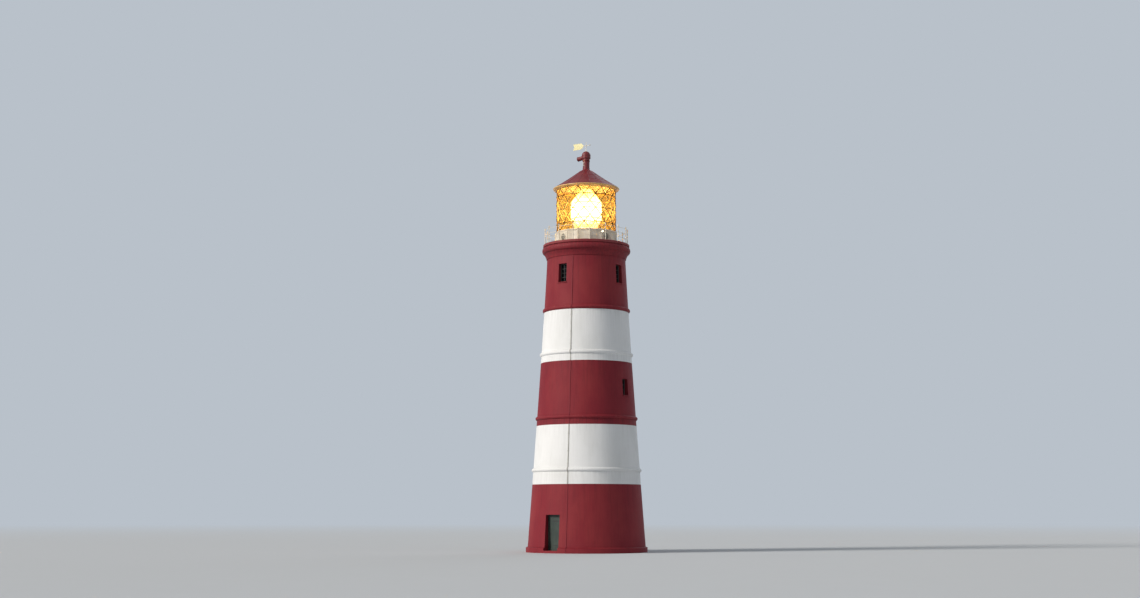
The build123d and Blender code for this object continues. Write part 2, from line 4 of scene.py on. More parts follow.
import bmesh
import bpy
import numpy as np
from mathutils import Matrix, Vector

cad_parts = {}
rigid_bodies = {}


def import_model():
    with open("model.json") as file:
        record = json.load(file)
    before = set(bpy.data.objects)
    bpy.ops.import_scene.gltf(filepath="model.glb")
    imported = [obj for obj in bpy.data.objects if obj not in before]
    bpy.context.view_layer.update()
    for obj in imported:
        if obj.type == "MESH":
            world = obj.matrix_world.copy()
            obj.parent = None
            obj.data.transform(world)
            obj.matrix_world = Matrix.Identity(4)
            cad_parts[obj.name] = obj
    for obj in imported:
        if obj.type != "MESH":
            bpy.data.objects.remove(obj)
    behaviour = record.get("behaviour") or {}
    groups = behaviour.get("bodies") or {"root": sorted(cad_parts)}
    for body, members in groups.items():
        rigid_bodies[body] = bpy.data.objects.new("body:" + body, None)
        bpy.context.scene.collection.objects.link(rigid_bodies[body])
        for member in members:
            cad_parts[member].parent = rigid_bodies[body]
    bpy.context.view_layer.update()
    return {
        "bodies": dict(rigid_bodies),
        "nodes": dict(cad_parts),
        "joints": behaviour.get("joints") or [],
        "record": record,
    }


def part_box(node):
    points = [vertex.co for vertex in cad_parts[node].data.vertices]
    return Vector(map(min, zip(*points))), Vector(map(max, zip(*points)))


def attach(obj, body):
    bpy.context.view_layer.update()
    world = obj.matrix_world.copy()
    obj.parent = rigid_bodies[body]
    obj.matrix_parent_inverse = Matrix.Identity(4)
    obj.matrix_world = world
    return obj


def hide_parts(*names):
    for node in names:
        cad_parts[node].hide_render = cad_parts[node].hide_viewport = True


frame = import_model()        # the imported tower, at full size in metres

scene = bpy.context.scene
nodes = frame["nodes"]
print("frame loaded:", len(nodes), "nodes")

# Levels and radii of the tower that several pieces share, in metres
tower = {
    "baseRadius": 3.685, "neckRadius": 2.485, "flare": 1.12, "shaftTop": 18.30,
    "groundWall": 1.25, "neckWall": 0.56, "brickLength": 0.225,
    "paintEdges": [4.15, 7.77, 11.70, 14.90], "rollLevels": [5.03, 8.24, 12.24, 15.04],
    "rollRadius": 0.12, "rollProjection": 0.105,
    "deckFoot": 19.08, "deckTop": 19.25, "muretteTop": 19.99, "sillTop": 20.07, "glazingTop": 22.755,
    "headTop": 22.805, "eaveTop": 22.915, "stackFoot": 24.095, "stackTop": 24.72,
    "lanternSides": 16, "lanternTurn": 20.5, "castRadius": 1.93, "lanternBore": 1.86,
}
sideAngle = 360 / tower["lanternSides"]
halfSide = math.radians(sideAngle / 2)
lanternCorners = tower["lanternTurn"] + sideAngle * np.arange(tower["lanternSides"])
lanternSides = lanternCorners + sideAngle / 2
castApothem = tower["castRadius"] * math.cos(halfSide)
outward, upward = (1, 0, 0), (0, 0, 1)


# Shapes: a part is (points, list of face arrays, wear of each point)

def shaftShare(level):
    # 0 at the neck, 1 at the ground
    return np.clip((tower["shaftTop"] - level) / tower["shaftTop"], 0, 1)


def shaftRadius(level):
    return tower["neckRadius"] + (tower["baseRadius"] - tower["neckRadius"]) * shaftShare(level) ** tower["flare"]


def roomRadius(level):
    return shaftRadius(level) - tower["neckWall"] - (tower["groundWall"] - tower["neckWall"]) * shaftShare(level)


def gridFaces(rows, columns, wrapRows=False, wrapColumns=False):
    # quads between neighbours of a grid of points stored row by row
    row, column = np.meshgrid(
        np.arange(rows if wrapRows else rows - 1), np.arange(columns if wrapColumns else columns - 1), indexing="ij")
    nextRow, nextColumn = (row + 1) % rows, (column + 1) % columns
    corners = [row * columns + column, nextRow * columns + column,
               nextRow * columns + nextColumn, row * columns + nextColumn]
    return np.stack(corners, -1).reshape(-1, 4)


def turned(outline, segments=160, firstBearing=0.0, wear=None):
    # a closed outline of (radius, height), listed anticlockwise, goes round Z: (r cos a, r sin a, z)
    outline = np.asarray(outline, float)
    angle = math.radians(firstBearing - 90) + np.arange(segments) * 2 * math.pi / segments
    points = np.stack([
        np.outer(np.cos(angle), outline[:, 0]), np.outer(np.sin(angle), outline[:, 0]),
        np.broadcast_to(outline[:, 1], (segments, len(outline)))], -1).reshape(-1, 3)
    worn = np.tile(np.zeros(len(outline)) if wear is None else np.asarray(wear, float), segments)
    return points, [gridFaces(segments, len(outline), True, True)], worn


def sixteenSided(outline, wear=None):
    return turned(outline, tower["lanternSides"], tower["lanternTurn"], wear)


def arcThrough(first, middle, last, count):
    # points evenly spaced on the circle through three (radius, height) points
    a, b, c = (np.asarray(point, float) for point in (first, middle, last))
    system = 2 * np.array([b - a, c - a])
    centre = np.linalg.solve(system, [b @ b - a @ a, c @ c - a @ a])
    angle = np.unwrap([math.atan2(*(point - centre)[::-1]) for point in (a, b, c)])
    sweep = np.linspace(angle[0], angle[2], count)
    return centre + np.linalg.norm(a - centre) * np.stack([np.cos(sweep), np.sin(sweep)], -1)


def crestWear(most, count):
    # wear across a half-round moulding: none at its edges, most at its crest
    return (most * np.sin(np.linspace(0, math.pi, count)) ** 2).tolist()


def beam(start, end, section, facing=outward):
    # a closed (side, out) section, listed anticlockwise, is carried in a straight line from start to end
    start, end, facing = (np.asarray(value, float) for value in (start, end, facing))
    along = (end - start) / np.linalg.norm(end - start)
    facing = facing - along * (facing @ along)
    facing /= np.linalg.norm(facing)
    side = np.cross(facing, along)
    section = np.asarray(section, float)
    across = section[:, :1] * side + section[:, 1:] * facing
    count = len(section)
    points = np.concatenate([start + across, end + across])
    here = np.arange(count)
    walls = np.stack([here, (here + 1) % count, (here + 1) % count + count, here + count], -1)
    return points, [walls, here[::-1][None], here[None] + count], np.zeros(2 * count)


def flatBar(out, first, last, section):
    # beam on a face square to +X, between two (across, level) places
    return beam((out, *first), (out, *last), section)


def carried(path, section, facing):
    # as beam, along a bent path: the section stands square to the path at each point, its out side towards facing
    path, section = np.asarray(path, float), np.asarray(section, float)
    along = np.gradient(path, axis=0)
    along /= np.linalg.norm(along, axis=1)[:, None]
    out = np.broadcast_to(np.asarray(facing, float), path.shape)
    out = out - along * (out * along).sum(1)[:, None]
    out = out / np.linalg.norm(out, axis=1)[:, None]
    side = np.cross(out, along)
    points = path[:, None] + section[None, :, :1] * side[:, None] + section[None, :, 1:] * out[:, None]
    count, here = len(section), np.arange(len(section))
    faces = [gridFaces(len(path), count, False, True)[:, ::-1], here[::-1][None],
             here[None] + count * (len(path) - 1)]
    return points.reshape(-1, 3), faces, np.full(len(path) * count, 0.2)


def rounded(width, depth, chamfer):
    # rectangle with its corners cut, centred, as a section
    w, d, c = width / 2, depth / 2, chamfer
    return [(w, -d + c), (w, d - c), (w - c, d), (-w + c, d), (-w, d - c), (-w, -d + c), (-w + c, -d), (w - c, -d)]


def circle(radius, sides=12):
    angle = np.arange(sides) * 2 * math.pi / sides
    return radius * np.stack([np.cos(angle), np.sin(angle)], -1)


def setBack(section, step):
    # the section made shallower by a step on both faces, so that it doesn't share a plane with what it crosses
    return [(side, out - math.copysign(step, out)) for side, out in section]


def placed(part, origin, axis=outward):
    # turns a part made along Z so that Z points along the axis and X up, or along +X where the axis is upright
    z = np.asarray(axis, float) / np.linalg.norm(axis)
    x = np.array([0, 0, 1.0]) - z * z[2]
    if np.linalg.norm(x) < 1e-6:
        x = np.array([1.0, 0, 0]) - z * z[0]
    x /= np.linalg.norm(x)
    points, faces, worn = part
    return points @ np.stack([x, np.cross(z, x), z]) + np.asarray(origin, float), faces, worn


def allPlaced(parts, origin, axis=outward):
    return [placed(part, origin, axis) for part in parts]


def atBearings(parts, bearings):
    # copies of parts made along +X, turned to each bearing
    copies = []
    for bearing in bearings:
        a = math.radians(bearing - 90)
        spin = np.array([[math.cos(a), math.sin(a), 0], [-math.sin(a), math.cos(a), 0], [0, 0, 1]])
        copies += [(points @ spin, faces, worn) for points, faces, worn in parts]
    return copies


def rivet(radius, height, sides=8):
    # a flattened half ball on a short neck that is let into what carries it
    angle = np.linspace(0, math.pi / 2, 4)
    outline = [(0, -0.2 * height), (radius, -0.2 * height)] + [
        (radius * math.cos(a), height * math.sin(a)) for a in angle[:-1]] + [(0, height)]
    return turned(outline, sides)


def boltHead(radius, height):
    # six-sided head with a chamfered top on a round washer
    washer = turned([(0, -0.1 * height), (1.35 * radius, -0.1 * height), (1.35 * radius, 0.2 * height),
                     (0, 0.2 * height)], 14)
    head = turned([(0, 0), (radius, 0), (radius, 0.8 * height), (0.85 * radius, height), (0, height)], 6)
    return [washer, head]


def makePiece(name, parts, material, body="tower", replaces=(), smoothAngle=32, bricksAround=0, ledges=None):
    # joins the parts in one mesh, in place, and lets it ride on its body
    points = np.concatenate([part[0] for part in parts])
    worn = np.concatenate([part[2] for part in parts])
    faces, first = [], 0
    for part in parts:
        for group in part[1]:
            faces += (group + first).tolist()
        first += len(part[0])
    mesh = bpy.data.meshes.new(name)
    mesh.from_pydata(points.tolist(), [], faces)
    mesh.attributes.new("wear", "FLOAT", "POINT").data.foreach_set("value", worn.astype(np.float32))
    if ledges is not None:
        # how much rain runs over a point from the ledge above it
        above = np.asarray(ledges)[None] - points[:, 2:3]
        above = np.where(above > -0.01, above, np.inf).min(1)
        mesh.attributes.new("runoff", "FLOAT", "POINT").data.foreach_set(
            "value", np.exp(-above / 0.7).astype(np.float32))
    work = bmesh.new()
    work.from_mesh(mesh)
    bmesh.ops.remove_doubles(work, verts=work.verts, dist=2e-5)
    work.to_mesh(mesh)
    work.free()
    if bricksAround:
        layBricks(mesh, bricksAround)
    mesh.shade_smooth()
    mesh.set_sharp_from_angle(angle=math.radians(smoothAngle))
    mesh.materials.append(material)
    piece = bpy.data.objects.new(name, mesh)
    scene.collection.objects.link(piece)
    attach(piece, body)
    if replaces:
        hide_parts(*replaces)


def layBricks(mesh, bricksAround):
    # UV in brick lengths: round the wall, plus the depth into a reveal, and up
    corners = np.zeros(len(mesh.loops), int)
    mesh.loops.foreach_get("vertex_index", corners)
    points = np.zeros(len(mesh.vertices) * 3)
    mesh.vertices.foreach_get("co", points)
    points = points.reshape(-1, 3)[corners]
    starts = np.zeros(len(mesh.polygons), int)
    mesh.polygons.foreach_get("loop_start", starts)
    u = np.arctan2(points[:, 1], points[:, 0]) / (2 * math.pi)
    face = np.repeat(np.arange(len(starts)), np.diff(np.append(starts, len(u))))
    u += (np.maximum.reduceat(u, starts)[face] - u > 0.5)
    depth = shaftRadius(points[:, 2]) - np.hypot(points[:, 0], points[:, 1])
    uv = np.stack([u * bricksAround + depth / tower["brickLength"], points[:, 2] / tower["brickLength"]], -1)
    mesh.uv_layers.new(name="bricks").data.foreach_set("uv", uv.ravel())


def finish(material, *names):
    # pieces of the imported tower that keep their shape
    for name in names:
        nodes[name].data.materials[0] = material


# Materials

def srgb(hexColour):
    value = np.array([int(hexColour[i:i + 2], 16) for i in (1, 3, 5)]) / 255
    linear = np.where(value <= 0.04045, value / 12.92, ((value + 0.055) / 1.055) ** 2.4)
    return (*linear.tolist(), 1.0)


def setNode(node, settings):
    # a setting is a socket to link from, the value or hex colour of a socket, or a property of the node
    for name, value in settings.items():
        if isinstance(value, bpy.types.NodeSocket):
            node.id_data.links.new(value, node.inputs[name])
        elif isinstance(name, int) or name in node.inputs:
            node.inputs[name].default_value = srgb(value) if isinstance(value, str) else value
        else:
            setattr(node, name, value)


def addNode(tree, kind, settings, output=0):
    # gives back one output of the new node
    node = tree.nodes.new("ShaderNode" + kind)
    setNode(node, settings)
    return node.outputs[output]


def startMaterial(name):
    material = bpy.data.materials.new(name)
    material.use_nodes = True
    return material, material.node_tree, material.node_tree.nodes["Principled BSDF"]


def mottled(tree, stretch, size, detail=4.0, roughness=0.55):
    # noise on Object coordinates whose blobs are about 1 / size metres across before the stretch
    place = addNode(tree, "TexCoord", {}, "Object")
    place = addNode(tree, "Mapping", {"Vector": place, "Scale": stretch})
    return addNode(tree, "TexNoise", {"Vector": place, "Scale": size, "Detail": detail, "Roughness": roughness}, "Fac")


soft = {"interpolation_type": "SMOOTHSTEP"}      # a mask with this starts and ends gently


def layered(tree, colour, coats):
    # each coat covers the ones before it as far as its mask says
    for mask, coat in coats:
        colour = addNode(tree, "Mix", {"data_type": "RGBA", 0: mask, 6: colour, 7: coat}, 2)
    return colour


def betweenLevels(tree, levels, most=1.0):
    # mask that rises over the first two levels and falls over the last two
    place = addNode(tree, "TexCoord", {}, "Object")
    height = addNode(tree, "SeparateXYZ", {0: place}, "Z")
    low, lowFull, highFull, high = levels
    for none, full in ((high, highFull), (low, lowFull)):
        most = addNode(tree, "MapRange", {**soft, "Value": height, "From Min": none, "From Max": full, "To Max": most})
    return most


def masonryPaint(name, look):
    # many brushed coats of matt masonry paint on close-jointed brick: soft joints, rain streaks, chalky fading
    look = {"brickTone": 0.0, "jointDirt": 0.0, "underLedge": 0.0, **look}
    material, tree, shader = startMaterial(name)
    bricks = addNode(tree, "TexBrick", {
        "Vector": addNode(tree, "TexCoord", {}, "UV"), "Scale": 1.0, "Mortar Size": 0.036, "Mortar Smooth": 0.75,
        "Brick Width": 1.0, "Row Height": 1 / 3, "Color1": (1, 1, 1, 1), "Color2": (0.35, 0.35, 0.35, 1),
        "Mortar": (0.6, 0.6, 0.6, 1)}).node
    tone, joints = bricks.outputs["Color"], bricks.outputs["Fac"]
    patches = mottled(tree, (1, 1, 0.6), 0.55, 5)            # patches of repainting, about 1.8 m
    streaks = mottled(tree, (9, 9, 0.22), 1.0, 6, 0.6)       # rain streaks about 0.1 m wide and metres long
    grain = mottled(tree, (1, 1, 1), 70, 5, 0.7)             # brush grain, about 14 mm
    specks = mottled(tree, (1, 1, 1), 16, 8, 0.65)           # chips, about 60 mm
    runoff = addNode(tree, "Attribute", {"attribute_name": "runoff"}, "Fac")
    wear = addNode(tree, "Attribute", {"attribute_name": "wear"}, "Fac")
    washed = addNode(tree, "Math", {"operation": "MULTIPLY", 0: runoff, 1: look["underLedge"]})
    bare = addNode(tree, "Math", {"operation": "ADD", 0: wear, 1: look["chips"]})
    faded, rained, belowLedge, chips = (
        addNode(tree, "MapRange", {**soft, "Value": pattern, "From Min": none, "From Max": full, "To Max": most})
        for pattern, none, full, most in (
            (patches, 0.36, 0.68, 1.0), (streaks, 0.46, 0.72, look["streaks"]), (streaks, 0.38, 0.62, washed),
            (specks, 0.60, 0.64, bare)))
    brickByBrick = addNode(tree, "Math", {"operation": "MULTIPLY", 0: tone, 1: look["brickTone"]})
    inJoints = addNode(tree, "Math", {"operation": "MULTIPLY", 0: joints, 1: look["jointDirt"]})
    colour = layered(tree, look["colour"], [
        (faded, look["faded"]), (brickByBrick, look["faded"]), (inJoints, look["dirt"]), (rained, look["dirt"]),
        (belowLedge, look["dirt"]), (chips, look["undercoat"])])
    smooth, rough = look["roughness"]
    height = addNode(tree, "Math", {"operation": "MULTIPLY", 0: grain, 1: 0.35})
    height = addNode(tree, "Math", {"operation": "SUBTRACT", 0: height, 1: joints})
    height = addNode(tree, "Math", {"operation": "MULTIPLY_ADD", 0: chips, 1: -0.4, 2: height})
    setNode(shader, {
        "IOR": 1.5, "Specular IOR Level": 0.25, "Base Color": colour,
        "Roughness": addNode(tree, "MapRange", {"Value": grain, "To Min": smooth, "To Max": rough}),
        "Normal": addNode(tree, "Bump", {"Height": height, "Distance": look["relief"]})})
    return material


def ironPaint(name, look):
    # brushed gloss paint on cast iron or sheet: faint casting texture, thin rust at worn edges, dirt in thin runs
    look = {"coat": 0.15, "relief": 0.0006, **look}
    material, tree, shader = startMaterial(name)
    patches = mottled(tree, (1, 1, 0.7), 1.6, 5)
    streaks = mottled(tree, (22, 22, 1.2), 1.0, 5, 0.6)      # thin runs, about 45 mm apart
    grain = mottled(tree, (1, 1, 1), 160, 4, 0.6)            # casting and brush texture, about 6 mm
    spots = mottled(tree, (1, 1, 1), 24, 9, 0.7)             # rust spots, about 40 mm
    wear = addNode(tree, "Attribute", {"attribute_name": "wear"}, "Fac")
    bare = addNode(tree, "Math", {"operation": "ADD", 0: wear, 1: look["rust"]})
    faded, runs, rust = (
        addNode(tree, "MapRange", {**soft, "Value": pattern, "From Min": none, "From Max": full, "To Max": most})
        for pattern, none, full, most in (
            (patches, 0.35, 0.7, 1.0), (streaks, 0.5, 0.75, look["streaks"]), (spots, 0.58, 0.66, bare)))
    smooth, rough = look["roughness"]
    shine = addNode(tree, "MapRange", {"Value": patches, "To Min": smooth, "To Max": rough})
    height = addNode(tree, "Math", {"operation": "MULTIPLY", 0: grain, 1: 0.6})
    height = addNode(tree, "Math", {"operation": "MULTIPLY_ADD", 0: rust, 1: -0.5, 2: height})
    setNode(shader, {
        "IOR": 1.5, "Coat Weight": look["coat"], "Coat Roughness": 0.2,
        "Base Color": layered(tree, look["colour"], [(faded, look["faded"]), (runs, look["dirt"]), (rust, "#6E3A20")]),
        "Roughness": addNode(tree, "Math", {"operation": "MULTIPLY_ADD", 0: rust, 1: 0.3, 2: shine}),
        "Normal": addNode(tree, "Bump", {"Height": height, "Distance": look["relief"]})})
    return material


def bandedPaint(name, look):
    # tape painted over with the bands each time the tower was painted, dirtier where it is white
    material, tree, shader = startMaterial(name)
    edge = 0.004             # half the height over which one colour gives way to the other
    white = 0.0
    for low, high in look["whiteBands"]:
        inside = betweenLevels(tree, (low - edge, low + edge, high - edge, high + edge))
        white = addNode(tree, "Math", {"operation": "MAXIMUM", 0: inside, 1: white})
    onWhite = addNode(tree, "Math", {"operation": "MULTIPLY", 0: white, 1: 0.6})
    streaks = mottled(tree, (30, 30, 0.8), 1.0, 5)           # thin runs, about 33 mm apart
    dirt = addNode(tree, "MapRange", {**soft, "Value": streaks, "From Min": 0.4, "From Max": 0.7, "To Max": onWhite})
    grain = mottled(tree, (1, 1, 1), 120, 4)
    setNode(shader, {
        "Roughness": 0.6, "Specular IOR Level": 0.3,
        "Base Color": layered(tree, look["red"], [(white, look["white"]), (dirt, look["dirt"])]),
        "Normal": addNode(tree, "Bump", {"Height": grain, "Distance": 0.0008})})
    return material


def metal(name, look):
    # bare copper alloy, tooled and dulled by sea air
    material, tree, shader = startMaterial(name)
    tarnish = mottled(tree, (1, 1, 1), 5.0, 6)
    fine = mottled(tree, (1, 1, 1), 220, 3)
    dull = addNode(tree, "MapRange", {**soft, "Value": tarnish, "From Min": 0.35, "From Max": 0.7})
    smooth, rough = look["roughness"]
    setNode(shader, {
        "Metallic": 1.0, "Base Color": layered(tree, look["colour"], [(dull, look["tarnish"])]),
        "Roughness": addNode(tree, "MapRange", {"Value": tarnish, "To Min": smooth, "To Max": rough}),
        "Normal": addNode(tree, "Bump", {"Height": fine, "Distance": 0.0003})})
    return material


def sheetGlass(name, look):
    # thin flat glass, a little rippled, whose cover over what lies behind it varies in patches. Painted shade: window
    # glass is a near-black, mostly opaque sheet standing in for the dark room behind it. Painted glow: lantern glass
    # glows warm and tints what is seen through it, standing in for lamplight
    material, tree, shader = startMaterial(name)
    thin, thick = look["paintedLightCover"]
    paintedLightCover = addNode(tree, "MapRange", {"Value": mottled(tree, (3, 3, 0.5), 3.0, 5), "To Min": thin, "To Max": thick})
    ripple = mottled(tree, (1, 1, 0.4), 5.0, 2)
    setNode(shader, {
        "IOR": 1.52, "Base Color": look["colour"], "Roughness": look["roughness"],
        "Normal": addNode(tree, "Bump", {"Height": ripple, "Distance": 0.0012})})
    # painted glow: the glass glows warm and tints what is seen through it, standing in for lamplight
    if "paintedLampLightTint" in look:
        setNode(shader, {"Emission Color": look["paintedGlowColour"], "Emission Strength": look["paintedGlowStrength"]})
        clear = addNode(tree, "BsdfTransparent", {"Color": look["paintedLampLightTint"]})
        mix = addNode(tree, "MixShader", {0: paintedLightCover, 1: clear, 2: shader.outputs[0]})
        setNode(tree.nodes["Material Output"], {"Surface": mix})
    else:
        setNode(shader, {"Alpha": paintedLightCover})
    return material


def beamLit(material, look):
    # painted light: the paint glows where the flat beam of the lens falls, on what stands level with its belt
    tree = material.node_tree
    setNode(tree.nodes["Principled BSDF"], {
        "Emission Strength": betweenLevels(tree, look["levels"], look["strength"]), "Emission Color": look["colour"]})


def litGlass(name, look):
    # ground and polished crown glass, filled with lamplight that is strongest level with the lamp
    material, tree, shader = startMaterial(name)
    place = addNode(tree, "TexCoord", {}, "Object")
    height = addNode(tree, "SeparateXYZ", {0: place}, "Z")
    height = addNode(tree, "Math", {"operation": "SUBTRACT", 0: height, 1: look["focalLevel"]})
    away = addNode(tree, "Math", {"operation": "ABSOLUTE", 0: height})
    full, none = look["brightHalf"]
    near = addNode(tree, "MapRange", {**soft, "Value": away, "From Min": none, "From Max": full})
    lines = mottled(tree, (1, 1, 34), 1.0, 3)                # streaks of light along the prisms
    streaked = addNode(tree, "Math", {"operation": "MULTIPLY_ADD", 0: lines, 1: 0.7, 2: 0.65})
    weak, strong = look["strength"]
    strength = addNode(tree, "MapRange", {"Value": near, "To Min": weak, "To Max": strong})
    setNode(shader, {
        "IOR": 1.52, "Base Color": "#F6E7C4", "Roughness": 0.08, "Coat Weight": 0.6, "Coat Roughness": 0.03,
        "Emission Strength": addNode(tree, "Math", {"operation": "MULTIPLY", 0: strength, 1: streaked}),
        "Emission Color": layered(tree, look["edge"], [(near, look["core"])])})
    return material


redMasonry = masonryPaint("redMasonryPaintBrushed", {
    "colour": "#7C1C28", "faded": "#87292F", "dirt": "#34161A", "undercoat": "#A87A70", "brickTone": 0.10,
    "jointDirt": 0.12, "streaks": 0.16, "underLedge": 0.34, "chips": 0.01, "roughness": (0.55, 0.75),
    "relief": 0.0035})
whiteMasonry = masonryPaint("whiteMasonryPaintBrushed", {
    "colour": "#E7E8E8", "faded": "#DEDFDE", "dirt": "#A3A3A0", "undercoat": "#B9B4A9", "brickTone": 0.10,
    "jointDirt": 0.12, "streaks": 0.05, "underLedge": 0.13, "chips": 0.01, "roughness": (0.55, 0.78),
    "relief": 0.0035})
deckPaint = masonryPaint("redDeckPaintOnCement", {
    "colour": "#7E2A30", "faded": "#8D4344", "dirt": "#40302C", "undercoat": "#9A938A", "streaks": 0.2,
    "underLedge": 0.2, "chips": 0.12, "roughness": (0.55, 0.8), "relief": 0.001})
sillPaint = masonryPaint("redMasonryPaintOnSlate", {
    "colour": "#781C27", "faded": "#84292F", "dirt": "#34161A", "undercoat": "#6A6C6C", "streaks": 0.2,
    "chips": 0.05, "roughness": (0.5, 0.75), "relief": 0.001})
concrete = masonryPaint("floatedCementFloor", {
    "colour": "#9C9890", "faded": "#ABA79D", "dirt": "#5E5A52", "undercoat": "#B9B4A8", "streaks": 0.1,
    "chips": 0.1, "roughness": (0.65, 0.9), "relief": 0.0015})
creamIron = ironPaint("creamGlossOnCastIron", {
    "colour": "#E8E0CC", "faded": "#DAD0B8", "dirt": "#8F8268", "streaks": 0.22, "rust": 0.03,
    "roughness": (0.28, 0.5)})
redIron = ironPaint("redGlossOnSheetIron", {
    "colour": "#6E141B", "faded": "#7B2024", "dirt": "#2B0E0E", "streaks": 0.4, "rust": 0.05,
    "roughness": (0.42, 0.62), "coat": 0.08})
blackIron = ironPaint("blackPaintOnForgedIron", {
    "colour": "#1B1C1D", "faded": "#2A2A2A", "dirt": "#3A2A20", "streaks": 0.2, "rust": 0.12,
    "roughness": (0.35, 0.6)})
# painted light: the ochre stands in for warm lamplight on the paint of the head ring and gutter
eaveIronPaintedLamplight = ironPaint("ochreGlossOnCastGutterPaintedLamplight", {
    "colour": "#E0B672", "faded": "#D2A45E", "dirt": "#86643A", "streaks": 0.2, "rust": 0.03,
    "roughness": (0.3, 0.5)})
astragalPaint = ironPaint("buffPaintOnCastAstragals", {
    "colour": "#C9AE6C", "faded": "#BA9C58", "dirt": "#7C6334", "streaks": 0.2, "rust": 0.02,
    "roughness": (0.3, 0.5)})
# painted light: the astragal paint glows level with the lens's belt
beamLit(astragalPaint, {"levels": (20.86, 21.04, 21.84, 22.02), "colour": "#FFDC90", "strength": 1.5})
joineryPaint = ironPaint("darkPaintOnTimber", {
    "colour": "#2E2D2B", "faded": "#454340", "dirt": "#161514", "streaks": 0.3, "rust": 0.0,
    "roughness": (0.4, 0.6), "relief": 0.0009})
doorPaint = ironPaint("darkGreenPaintOnOakPlanks", {
    "colour": "#22322B", "faded": "#34443A", "dirt": "#15191A", "streaks": 0.35, "rust": 0.0,
    "roughness": (0.35, 0.6), "relief": 0.0015})
flagPaint = ironPaint("paleYellowPaintOnSheetCopper", {
    "colour": "#E4DDA6", "faded": "#D9CF93", "dirt": "#8F8458", "streaks": 0.25, "rust": 0.04,
    "roughness": (0.35, 0.55)})
tapePaint = bandedPaint("bandPaintOnCopperTape", {
    "red": "#7C1C28", "white": "#B4B3AE", "dirt": "#6B665E",
    "whiteBands": [tower["paintEdges"][:2], tower["paintEdges"][2:]]})
stripBronze = metal("rolledBronzeStripWeathered", {"colour": "#8A6636", "tarnish": "#54401F", "roughness": (0.35, 0.6)})
bronze = metal("castBronzeTurned", {"colour": "#B08A4C", "tarnish": "#6E5532", "roughness": (0.28, 0.5)})
# painted shade: near-black, mostly opaque glass stands in for the dark rooms behind the windows
windowGlassPaintedShade = sheetGlass("drawnWindowGlassPaintedShade", {"colour": "#0C1114", "roughness": 0.04, "paintedLightCover": (0.80, 0.92)})
# painted light: the gold colour, the warm glow and the warm tint of the lantern glass stand in for the lamplight inside
lanternGlassPaintedGlow = sheetGlass("polishedPlateGlassPaintedGlow", {
    "colour": "#B8984E", "roughness": 0.05, "paintedLampLightTint": "#F8EAC6", "paintedGlowColour": "#F2B850", "paintedGlowStrength": 0.5,
    "paintedLightCover": (0.12, 0.22)})
lensGlass = litGlass("groundCrownGlassPrisms", {
    "core": "#FFF2D2", "edge": "#FFDFA0", "strength": (3.2, 11.0), "focalLevel": 21.44, "brightHalf": (0.25, 1.15)})
lampGlass = litGlass("frostedLampBulbLit", {
    "core": "#FFF3D6", "edge": "#FFE2A6", "strength": (20.0, 24.0), "focalLevel": 21.44, "brightHalf": (0.3, 0.9)})
beamGlass = litGlass("peepholeGlassLit", {
    "core": "#FFE9C0", "edge": "#FFE9C0", "strength": (12.0, 15.0), "focalLevel": 19.91, "brightHalf": (0.3, 0.9)})
print("paints, metals and glass made")


# Shaft

walls = {
    "columns": 192, "rowHeight": 0.16,
    "topWindow": {"width": 0.62, "height": 1.16, "sill": 16.64, "bearings": (0, 90, 180, 270), "levelBars": 3},
    "lowWindow": {"width": 0.56, "height": 1.01, "sill": 9.61, "bearings": (90, 270), "levelBars": 2},
    "door": {"width": 1.05, "height": 2.15, "sill": 0.15, "bearings": (0,)},
    "plinthTop": 0.35, "plinthProjection": 0.09, "plinthWeathering": 0.06,
}
rollFeet = [level - tower["rollRadius"] for level in tower["rollLevels"]]
rollTops = [level + tower["rollRadius"] for level in tower["rollLevels"]]
ledges = rollFeet + [18.70]          # levels from whose undersides rain runs down the wall


